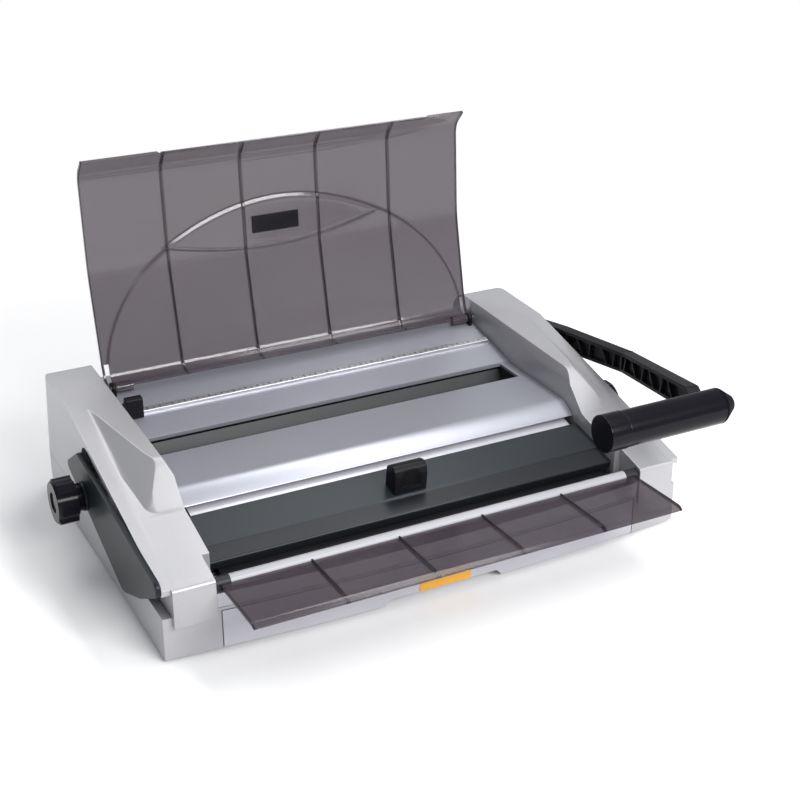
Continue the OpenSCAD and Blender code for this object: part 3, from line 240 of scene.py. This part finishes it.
def moulded(
    name, dark, light, rough, metal=0.0, grain=1400.0, skin=0.1, coat=0.0, stretch=(1, 1, 1), shine=0.5
):
    """A finish with a slow change of tone, a fine grain in its colour and a skin that isn't quite even."""
    cloud_share = 0.5
    rough_spread = 0.2
    material = bpy.data.materials.new(name)
    material.use_nodes = True
    tree, wires = material.node_tree.nodes, material.node_tree.links
    shader = tree["Principled BSDF"]
    shader.inputs["Metallic"].default_value = metal
    shader.inputs["Coat Weight"].default_value = coat
    shader.inputs["Specular IOR Level"].default_value = shine
    shader.inputs["Coat Roughness"].default_value = 0.12
    place = tree.new("ShaderNodeTexCoord")
    turn = tree.new("ShaderNodeMapping")
    turn.inputs["Scale"].default_value = stretch
    wires.new(place.outputs["Object"], turn.inputs["Vector"])
    cloud = tree.new("ShaderNodeTexNoise")
    cloud.inputs["Scale"].default_value = 14
    cloud.inputs["Detail"].default_value = 3
    wires.new(place.outputs["Object"], cloud.inputs["Vector"])
    speck = tree.new("ShaderNodeTexNoise")
    speck.inputs["Scale"].default_value = grain
    speck.inputs["Detail"].default_value = 2
    wires.new(turn.outputs["Vector"], speck.inputs["Vector"])
    part_speck = tree.new("ShaderNodeMath")
    part_speck.operation = "MULTIPLY"
    part_speck.inputs[1].default_value = 1 - cloud_share
    wires.new(speck.outputs["Fac"], part_speck.inputs[0])
    both = tree.new("ShaderNodeMath")
    both.operation = "MULTIPLY_ADD"
    both.inputs[1].default_value = cloud_share
    wires.new(cloud.outputs["Fac"], both.inputs[0])
    wires.new(part_speck.outputs[0], both.inputs[2])
    tone = tree.new("ShaderNodeValToRGB")
    tone.color_ramp.elements[0].position = 0.3
    tone.color_ramp.elements[1].position = 0.7
    tone.color_ramp.elements[0].color = (*dark, 1)
    tone.color_ramp.elements[1].color = (*light, 1)
    wires.new(both.outputs[0], tone.inputs["Fac"])
    wires.new(tone.outputs["Color"], shader.inputs["Base Color"])
    gloss = tree.new("ShaderNodeMapRange")
    gloss.inputs["To Min"].default_value = rough * (1 - rough_spread)
    gloss.inputs["To Max"].default_value = min(1.0, rough * (1 + rough_spread))
    wires.new(both.outputs[0], gloss.inputs["Value"])
    wires.new(gloss.outputs["Result"], shader.inputs["Roughness"])
    relief = tree.new("ShaderNodeBump")
    relief.inputs["Strength"].default_value = skin
    relief.inputs["Distance"].default_value = 0.0002
    wires.new(speck.outputs["Fac"], relief.inputs["Height"])
    wires.new(relief.outputs["Normal"], shader.inputs["Normal"])
    return material


silver_lacquer = moulded(
    "silver_lacquer", (0.37, 0.368, 0.385), (0.45, 0.448, 0.465), rough=0.36,
    metal=0.35, grain=2600, skin=0.06, coat=0.25,
)
finish_node("base_pan", silver_lacquer, edge=0.0005)


# Rubber feet: five turned pads, pressed into the tray's underside. Their rims
# are rounded and the rubber is dull.
dull_rubber = moulded(
    "dull_rubber", (0.012, 0.012, 0.012), (0.03, 0.03, 0.03), rough=0.75, grain=900, skin=0.3
)
finish_node("rubber_feet", dull_rubber, edge=0.0004)


# End housings: two moulded shells in the same lacquer as the tray, with a slanted
# outer face, a recess for the closing lever and a bevelled inner edge. The hole for
# the lid's pin runs so near that bevel that its rim stays as drilled.
pin_low, pin_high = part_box("lid_pins")
pin_middle = (pin_low + pin_high) / 2
pin_hole_reach = 0.0045


def at_lid_pin(place):
    """Whether a point of a housing is on the rim of the hole for the lid's pin."""
    return hypot(place.y - pin_middle.y, place.z - pin_middle.z) < pin_hole_reach


for housing in ("left_housing", "right_housing"):
    finish_node(
        housing, silver_lacquer, edge=0.0005, spared=at_lid_pin, whole_flats=True
    )


# Deck and back cover: bent sheet with a satin silver finish. The deck's front edge
# rolls down in one broad nosing that catches the light.
satin_sheet = moulded(
    "satin_sheet", (0.33, 0.335, 0.38), (0.36, 0.365, 0.41), rough=0.3,
    metal=0.5, grain=1800, skin=0.0, stretch=(0.2, 1, 1),
)
finish_node("top_deck", satin_sheet, edge=0.0004)
finish_node("rear_cover", silver_lacquer, edge=0.0005)


# Sill: a pale moulded strip in front of the wire gap, with a crisp front edge. It
# closes the front above the drawer.
pale_lacquer = moulded(
    "pale_lacquer", (0.46, 0.455, 0.5), (0.56, 0.555, 0.6), rough=0.33,
    metal=0.3, grain=2600, skin=0.1, coat=0.25,
)
finish_node("front_sill", pale_lacquer, edge=0.0005)


# Ruler strip: a bright aluminium rail behind the slot, held on the deck, with a dark
# tick every five millimetres on its top, every second one long.
bright_metal = moulded(
    "bright_metal", (0.55, 0.55, 0.57), (0.75, 0.75, 0.77), rough=0.3,
    metal=1.0, grain=1200, skin=0.15, stretch=(0.03, 1, 1),
)
finish_node("ruler_strip", bright_metal, edge=0.0003)
ink = moulded("ruler_ink", (0.02, 0.02, 0.025), (0.035, 0.035, 0.04), rough=0.5, grain=1500)
rail_low, rail_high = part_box("ruler_strip")
tick_step, tick_count = 0.005, 60
tick_width, tick_height = 0.0005, 0.0002
tick_inset, tick_lift = 0.0006, 0.00004
short_tick, long_tick = 0.0018, 0.0034
every = 2
for name, tick_length, first in (("ruler_short_ticks", short_tick, 1), ("ruler_long_ticks", long_tick, 0)):
    bpy.ops.object.select_all(action="DESELECT")
    bpy.ops.mesh.primitive_cube_add(
        size=1,
        location=(
            -tick_step * tick_count / 2 + first * tick_step,
            rail_low.y + tick_inset + tick_length / 2,
            rail_high.z + tick_lift,
        ),
        scale=(tick_width, tick_length, tick_height),
    )
    ticks = bpy.context.active_object
    ticks.name = name
    bpy.ops.object.transform_apply(location=True, rotation=True, scale=True)
    row = ticks.modifiers.new("row", "ARRAY")
    row.count = len(range(first, tick_count + 1, every))
    row.use_relative_offset = False
    row.use_constant_offset = True
    row.constant_offset_displace = (tick_step * every, 0, 0)
    apply_modifiers(ticks)
    break_edges(ticks, 0.00004, steps=1)
    ticks.data.materials.append(ink)
    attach(ticks, "root")


# Paper throat: the slate plastic funnel under the slot that leads the sheets down
# to the die.
slate_plastic = moulded(
    "slate_plastic", (0.01, 0.013, 0.016), (0.018, 0.022, 0.026), rough=0.4, grain=1300, skin=0.1, shine=0.3
)
finish_node("paper_throat", slate_plastic, edge=0.0003)


# Punch works: hardened and ground steel plates, square pins and their bar, racks
# and pinions, with the marks of the grinder along them.
ground_steel = moulded(
    "ground_steel", (0.3, 0.3, 0.31), (0.52, 0.52, 0.53), rough=0.33,
    metal=1.0, grain=900, skin=0.2, stretch=(0.04, 1, 1),
)
for node in (
    "left_frame_plate", "right_frame_plate", "tie_rods", "die_plate", "guide_plate", "paper_stop",
    "punch_holder", "punch_pins", "punch_racks", "punch_pinions", "punch_shaft", "shaft_clips",
    "frame_screws", "drawer_rails",
):
    paint_node(node, ground_steel)


# Wire-size works: brass gears, bushes of sintered bronze, and the steel shafts, cam
# and lug that set how far the closing lever comes down.
soft_brass = moulded(
    "soft_brass", (0.42, 0.28, 0.1), (0.6, 0.42, 0.17), rough=0.38, metal=1.0, grain=1100, skin=0.2
)
for node in ("size_gear", "stub_gear", "shaft_bushes"):
    paint_node(node, soft_brass)
for node in (
    "size_shaft", "stub_shaft", "size_cam", "stop_lug", "closer_tube", "closer_pinions", "closer_racks",
):
    paint_node(node, ground_steel)


# Closing bar: a painted extrusion with a darker lower step in front, on a black bed,
# with a hollowed thumb tab in black at its middle. A pale leaf let into its back edge
# closes the gap under the deck's nosing and slides with it.
def sums(material, operation, first, second=0.0, third=0.0):
    """A maths node of a material; each value is a number or another node's output."""
    node = material.node_tree.nodes.new("ShaderNodeMath")
    node.operation = operation
    for socket, value in zip(node.inputs, (first, second, third)):
        if isinstance(value, (int, float)):
            socket.default_value = value
        else:
            material.node_tree.links.new(value, socket)
    return node.outputs[0]


def darker_where(material, mask, colour):
    """Gives a finish another colour wherever a mask is 1."""
    tree, wires = material.node_tree.nodes, material.node_tree.links
    shader = tree["Principled BSDF"]
    tone = tree.new("ShaderNodeMix")
    tone.data_type = "RGBA"
    tone.inputs["B"].default_value = (*colour, 1)
    wires.new(mask, tone.inputs["Factor"])
    wires.new(shader.inputs["Base Color"].links[0].from_socket, tone.inputs["A"])
    wires.new(tone.outputs["Result"], shader.inputs["Base Color"])


def object_axes(material):
    """The x, y and z of a point of a piece."""
    place = material.node_tree.nodes.new("ShaderNodeTexCoord")
    split = material.node_tree.nodes.new("ShaderNodeSeparateXYZ")
    material.node_tree.links.new(place.outputs["Object"], split.inputs[0])
    return split.outputs


slate_paint = moulded(
    "slate_paint", (0.013, 0.017, 0.021), (0.02, 0.025, 0.03), rough=0.38,
    metal=0.1, grain=1800, skin=0.03, shine=0.3,
)
black_plastic = moulded(
    "black_plastic", (0.005, 0.005, 0.006), (0.011, 0.011, 0.013), rough=0.36,
    grain=1500, skin=0.1, shine=0.1,
)
bar_low, bar_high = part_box("closing_bar")
step_depth = 0.0158
on_step = sums(slate_paint, "LESS_THAN", object_axes(slate_paint)["Y"], bar_low.y + step_depth)
darker_where(slate_paint, on_step, (0.008, 0.01, 0.013))
finish_node("closing_bar", slate_paint, edge=0.0004)
finish_node("bar_tab", black_plastic, edge=0.0006)
paint_node("closer_bed", black_plastic)
leaf_width, leaf_length, leaf_thick = 0.311, 0.0135, 0.001
leaf_rise = radians(11.5)
leaf_overlap, leaf_sunk, leaf_inset = 0.0012, 0.0006, 0.0007
crown_in_front = 0.002
leaf_middle = leaf_length / 2 - leaf_overlap
bpy.ops.object.select_all(action="DESELECT")
bpy.ops.mesh.primitive_cube_add(
    size=1,
    location=(
        0,
        bar_high.y - leaf_inset + leaf_middle * cos(leaf_rise),
        bar_high.z - leaf_sunk - leaf_thick / 2 + (leaf_middle + crown_in_front) * sin(leaf_rise),
    ),
    rotation=(leaf_rise, 0, 0),
    scale=(leaf_width, leaf_length, leaf_thick),
)
bar_leaf = bpy.context.active_object
bar_leaf.name = "bar_leaf"
bpy.ops.object.transform_apply(location=True, rotation=True, scale=True)
break_edges(bar_leaf, 0.0003)
bar_leaf.data.materials.append(pale_lacquer)
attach(bar_leaf, body_of("closing_bar"))


# Chip drawer: one moulding, a bowed front panel in pale silver with a raised finger
# edge and a shallow tray behind it. A plain amber film is stuck on its front.
amber_film = moulded("amber_film", (0.72, 0.33, 0.02), (0.85, 0.42, 0.04), rough=0.4, grain=700, skin=0.05)
finish_node("chip_drawer", pale_lacquer, edge=0.0004)
finish_node("drawer_label", amber_film, edge=0.0001)


# Closing lever: a broad pressed steel blade with rolled edges, painted dark green-grey,
# keyed on the tube that turns the closer's pinions.
lever_paint = moulded(
    "lever_paint", (0.009, 0.012, 0.015), (0.015, 0.019, 0.023), rough=0.34,
    grain=1700, skin=0.05, shine=0.15,
)
finish_node("closing_lever", lever_paint, edge=0.0008)


# Knobs: glossy black mouldings with shallow flutes and a dished face, pressed on the
# two size shafts.
gloss_black = moulded(
    "gloss_black", (0.004, 0.004, 0.006), (0.008, 0.008, 0.011), rough=0.2,
    grain=900, skin=0.04, coat=0.05, shine=0.12,
)
for knob in ("left_knob", "right_knob"):
    finish_node(knob, gloss_black, edge=0.0009, clamp=True)


# Punch handle: a moulded black arm with pockets and slanting ribs, fixed on the punch
# shaft by a domed screw.
finish_node("handle_arm", black_plastic, edge=0.0003)
finish_node("hub_screw", gloss_black, edge=0.0004)
paint_node("grip_spindle", ground_steel)


# Grip: a glossy black sleeve on a steel spindle, with a collar at its inner end and a
# duller cone at its outer end.
for part in ("handle_grip", "grip_collar"):
    finish_node(part, gloss_black, edge=0.0005)
cap_black = moulded(
    "cap_black", (0.004, 0.004, 0.005), (0.007, 0.007, 0.009), rough=0.6, grain=1200, skin=0.1, shine=0.04
)
finish_node("grip_end_cap", cap_black, edge=0.0008)


# Paper guide: a black two-step block that straddles the ruler and slides on it, to
# stop the sheets' side edge.
finish_node("paper_guide", black_plastic, edge=0.0005)


# Lid: a vacuum-formed sheet of smoked plastic with four pressed ribs, a raised arch
# and a lens above it, folded down along its free edge and notched for the ears. Its
# own measures are in millimetres: x across it, and s or t along it from its hinge.
def smoked(name, dark, light, see_through, rib_pitch, rib_half, creases=None):
    """A tinted clear plastic with painted shade: darker and less clear along its ribs and creases."""
    painted_shade_tone, painted_shade_cover = 0.25, 0.97
    full_shade = 0.5
    material = moulded(name, dark, light, rough=0.13, grain=500, skin=0.01)
    tree, wires = material.node_tree.nodes, material.node_tree.links
    shader = tree["Principled BSDF"]
    axes = object_axes(material)
    # Painted shade: a dark, less clear line along each rib and, where given, along the creases stands in
    # for the shade that falls in them.
    off_gap = sums(material, "PINGPONG", axes["X"], rib_pitch / 2)
    off_rib = sums(material, "SUBTRACT", rib_pitch / 2, off_gap)
    painted_line_shade = sums(material, "SUBTRACT", 1.0, sums(material, "DIVIDE", off_rib, rib_half))
    if creases:
        painted_line_shade = sums(material, "MAXIMUM", painted_line_shade, creases(material, axes["X"], axes["Z"]))
    shade = tree.new("ShaderNodeMapRange")
    shade.inputs["From Max"].default_value = full_shade
    wires.new(painted_line_shade, shade.inputs["Value"])
    darker_where(material, shade.outputs["Result"], [part * painted_shade_tone for part in dark])
    cover = tree.new("ShaderNodeMapRange")
    cover.inputs["To Min"].default_value = 1 - see_through
    cover.inputs["To Max"].default_value = painted_shade_cover
    wires.new(shade.outputs["Result"], cover.inputs["Value"])
    wires.new(cover.outputs["Result"], shader.inputs["Alpha"])
    return material


MM = 0.001
lid_hinge = Vector((0, pin_middle.y, pin_middle.z))
lid_open = radians(98)
lid_half = 160.5
lid_thick = 2.2
arch_half, arch_top, arch_mean = 157, 124, 110
lens_top, lens_top_x, lens_top_bend = 127.8, -3, 0.0031
lens_foot, lens_foot_x, lens_foot_bend = 86.4, -14, 0.0016


def lid_crease_painted_shade(material, x, z):
    """How much painted shade the creases of the arch and the lens put on a point of the open lid."""
    foot_under_hinge, lean_stretch = 0.0022, 1.01
    crease_shade, crease_fade, lens_hides_arch = 0.32, 0.3, 10.0
    up = sums(material, "SUBTRACT", z, lid_hinge.z - foot_under_hinge)
    s = sums(material, "MULTIPLY", up, lean_stretch)
    x_share = sums(material, "ABSOLUTE", sums(material, "DIVIDE", x, arch_half * MM))
    s_share = sums(material, "ABSOLUTE", sums(material, "DIVIDE", s, arch_top * MM))
    across = sums(material, "POWER", x_share, 2.0)
    along = sums(material, "POWER", s_share, 2.0)
    ring = sums(material, "SQRT", sums(material, "ADD", across, along))
    off_ring = sums(material, "ABSOLUTE", sums(material, "SUBTRACT", ring, 1.0))
    arch = sums(material, "MULTIPLY", off_ring, float(arch_mean))
    from_top = sums(material, "MULTIPLY", sums(material, "ADD", x, -lens_top_x * MM), 1 / MM)
    from_foot = sums(material, "MULTIPLY", sums(material, "ADD", x, -lens_foot_x * MM), 1 / MM)
    top_square = sums(material, "MULTIPLY", from_top, from_top)
    foot_square = sums(material, "MULTIPLY", from_foot, from_foot)
    upper = sums(material, "MULTIPLY_ADD", top_square, -lens_top_bend, lens_top)
    lower = sums(material, "MULTIPLY_ADD", foot_square, lens_foot_bend, lens_foot)
    s_mm = sums(material, "MULTIPLY", s, 1 / MM)
    below_upper = sums(material, "SUBTRACT", upper, s_mm)
    above_lower = sums(material, "SUBTRACT", s_mm, lower)
    inside = sums(material, "MINIMUM", below_upper, above_lower)
    lens = sums(material, "ABSOLUTE", inside)
    in_lens = sums(material, "GREATER_THAN", inside, 0.0)
    hidden = sums(material, "MULTIPLY", in_lens, lens_hides_arch)
    nearest = sums(material, "MINIMUM", lens, sums(material, "ADD", arch, hidden))
    return sums(material, "SUBTRACT", crease_shade, sums(material, "MULTIPLY", nearest, crease_fade))


# The lid gets painted shade along its ribs and along the creases of its arch and lens: darker and less
# clear there.
smoked_lid = smoked(
    "smoked_lid", (0.05, 0.036, 0.048), (0.068, 0.05, 0.065),
    see_through=0.3, rib_pitch=0.0642, rib_half=0.0011, creases=lid_crease_painted_shade,
)


def arc_between(before, corner, after, radius, steps):
    """The points of a round corner between two straight runs."""
    back, onward = (before - corner).normalized(), (after - corner).normalized()
    half = back.angle(onward) / 2
    centre = corner + (back + onward).normalized() * radius / sin(half)
    start = corner + back * radius / tan(half) - centre
    end = corner + onward * radius / tan(half) - centre
    first = atan2(start.y, start.x)
    sweep = atan2(start.x * end.y - start.y * end.x, start.dot(end))
    angles = [first + sweep * k / steps for k in range(steps + 1)]
    return [centre + radius * Vector((cos(angle), sin(angle))) for angle in angles]


# The closed lid's side line, as y and z from its hinge: the back flange, two roof
# runs and the free edge, with a round corner between each two, cut off at one height.
side_corners = [
    Vector((4, -60)), Vector((-1, 10.5)), Vector((-88, 17)), Vector((-164, 10.5)), Vector((-229.4, -60)),
]
corner_radii = (9, 150, 22)
corner_steps = 12
cut_height = -2
line = []
for corner, radius in enumerate(corner_radii, start=1):
    line += arc_between(*side_corners[corner - 1:corner + 2], radius, corner_steps)
slope = (side_corners[1] - side_corners[0]).normalized()
line.insert(0, line[0] - slope * (line[0].y - cut_height) / slope.y)
slope = (side_corners[4] - side_corners[3]).normalized()
line.append(line[-1] + slope * (cut_height - line[-1].y) / slope.y)
run = [0.0]
for start, end in zip(line, line[1:]):
    run.append(run[-1] + (end - start).length)
total_run = run[-1]


def on_line(t):
    """The place and the outward direction on the lid's side line, at t along it."""
    slack = 1e-9
    passed = max(k for k, length in enumerate(run[:-1]) if length <= t + slack)
    start, end = line[passed], line[passed + 1]
    along = (end - start).normalized()
    return start + along * (t - run[passed]), Vector((along.y, -along.x))


def smooth_step(none, full, value):
    """A smooth step in a value: 0 up to none, 1 from full on. Full may be the lower of the two."""
    share = min(1.0, max(0.0, (value - none) / (full - none)))
    return share * share * (3 - 2 * share)


arch_edge, lens_edge = (-1.5, 1.5), (-0.5, 4.0)
relief_start, relief_end = (6, 20), (176, 160)
rib_start, rib_end, rib_side = (2, 12), (175, 166), (1.1, 0.5)
rib_count = 4
rib_places = [lid_half * (-1 + 2 * i / (rib_count + 1)) for i in range(1, rib_count + 1)]


def lid_relief(x, s):
    """How far the lid's skin stands inwards at x and at s from the hinge: arch, lens and ribs."""
    panel_out, arch_drop, rib_depth = 1.5, 0.75, 0.9
    arch = (1 - hypot(x / arch_half, s / arch_top)) * arch_mean
    top_x, foot_x = x - lens_top_x, x - lens_foot_x
    upper = lens_top - lens_top_bend * top_x ** 2
    lower = lens_foot + lens_foot_bend * foot_x ** 2
    lens = min(
        (upper - s) / hypot(1, 2 * lens_top_bend * top_x),
        (s - lower) / hypot(1, 2 * lens_foot_bend * foot_x),
    )
    level = -panel_out + arch_drop * smooth_step(*arch_edge, arch)
    level -= level * smooth_step(*lens_edge, lens)
    level *= smooth_step(*relief_start, s) * smooth_step(*relief_end, s)
    rib = max(smooth_step(*rib_side, abs(x - place)) for place in rib_places)
    return level + rib_depth * rib * smooth_step(*rib_start, s) * smooth_step(*rib_end, s)


even_columns, even_rows = 190, 128
rib_shoulders = (-1.2, -0.8, -0.4, 0.4, 0.8, 1.2)
notch_sides = {-158.9, -155.1, 155.1, 158.9}
least_gap = 0.25
columns = sorted(
    {round(-lid_half + 2 * lid_half * i / even_columns, 3) for i in range(even_columns + 1)}
    | {round(place + shoulder, 3) for place in rib_places for shoulder in rib_shoulders}
    | notch_sides
)
columns = [
    x for i, x in enumerate(columns)
    if i == 0 or x in notch_sides or x - columns[i - 1] > least_gap
]
rows = sorted(
    {round(total_run * j / even_rows, 3) for j in range(even_rows + 1)}
    | {round(length, 3) for length in run}
)
bpy.ops.object.select_all(action="DESELECT")
bpy.ops.mesh.primitive_grid_add(x_subdivisions=len(columns) - 1, y_subdivisions=len(rows) - 1, size=1)
lid_shell = bpy.context.active_object
lid_shell.name = "lid_shell"
turn_cos, turn_sin = cos(-lid_open), sin(-lid_open)
recess_left, recess_right, recess_depth = -101, 128, 1.5
for vertex in lid_shell.data.vertices:
    x = columns[round((vertex.co.x + 0.5) * (len(columns) - 1))]
    t = rows[round((vertex.co.y + 0.5) * (len(rows) - 1))]
    if recess_left < x < recess_right:
        t = min(t, total_run - recess_depth)
    place, outward = on_line(t)
    place = place - outward * (lid_thick / 2 + lid_relief(x, -place.x))
    turned_y = place.x * turn_cos - place.y * turn_sin
    turned_z = place.x * turn_sin + place.y * turn_cos
    vertex.co = Vector((x * MM, lid_hinge.y + turned_y * MM, lid_hinge.z + turned_z * MM))
notch_start, notch_end, notch_depth = 155.0, 159.0, 20
notched = [
    face.index for face in lid_shell.data.polygons
    if notch_start < abs(face.center.x / MM) < notch_end
    and (face.center.zy - lid_hinge.zy).length < notch_depth * MM
]
select_only(lid_shell)
bpy.ops.object.mode_set(mode="EDIT")
bpy.ops.mesh.select_mode(type="FACE")
bpy.ops.mesh.select_all(action="DESELECT")
bpy.ops.object.mode_set(mode="OBJECT")
for index in notched:
    lid_shell.data.polygons[index].select = True
bpy.ops.object.mode_set(mode="EDIT")
bpy.ops.mesh.delete(type="FACE")
bpy.ops.object.mode_set(mode="OBJECT")
wall = lid_shell.modifiers.new("wall", "SOLIDIFY")
wall.thickness = lid_thick * MM
wall.offset = 0
apply_modifiers(lid_shell)
select_only(lid_shell)
crease_from = radians(35)
bpy.ops.object.shade_smooth_by_angle(angle=crease_from)
lid_shell.data.materials.append(smoked_lid)
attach(lid_shell, "lid")
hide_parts("lid_panel")


# Lid hinge and plaque: two knuckles of the lid's own plastic round the hinge line,
# black ears and steel pins in them, and a bare black plaque inside the lens.
knuckle_start, knuckle_end, knuckle_radius = 141.1, 155.1, 4
for name, side in (("lid_knuckle_left", -1), ("lid_knuckle_right", 1)):
    bpy.ops.object.select_all(action="DESELECT")
    bpy.ops.mesh.primitive_cylinder_add(
        vertices=40,
        radius=knuckle_radius * MM,
        depth=(knuckle_end - knuckle_start) * MM,
        location=(side * (knuckle_start + knuckle_end) / 2 * MM, lid_hinge.y, lid_hinge.z),
        rotation=(0, pi / 2, 0),
    )
    knuckle = bpy.context.active_object
    knuckle.name = name
    bpy.ops.object.transform_apply(location=True, rotation=True, scale=True)
    break_edges(knuckle, 0.0004)
    knuckle.data.materials.append(smoked_lid)
    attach(knuckle, "lid")
finish_node("lid_plaque", gloss_black, edge=0.0003)
finish_node("lid_hinge_ears", black_plastic, edge=0.0005)
paint_node("lid_pins", ground_steel)


# Front flap: the same smoked plastic, with four low ribs and a turned-down lip, on a
# thick lacquered rod that runs from housing to housing and turns in black sleeves.
# The flap gets the same painted shade along its ribs.
smoked_flap = smoked(
    "smoked_flap", (0.035, 0.022, 0.032), (0.05, 0.034, 0.046),
    see_through=0.34, rib_pitch=0.0656, rib_half=0.0016,
)
finish_node("flap_panel", smoked_flap, edge=0.0004)
rod_finish = moulded(
    "rod_finish", (0.34, 0.34, 0.36), (0.4, 0.4, 0.42), rough=0.5, metal=0.2, grain=2600, skin=0.03
)
sleeve_start = 0.156
off_middle = sums(rod_finish, "ABSOLUTE", object_axes(rod_finish)["X"])
in_sleeve = sums(rod_finish, "GREATER_THAN", off_middle, sleeve_start)
darker_where(rod_finish, in_sleeve, (0.008, 0.008, 0.01))
finish_node("flap_rod", rod_finish, edge=0.0006)


# Colours leave as they are, with the plain view transform.
bpy.context.scene.view_settings.view_transform = "Standard"
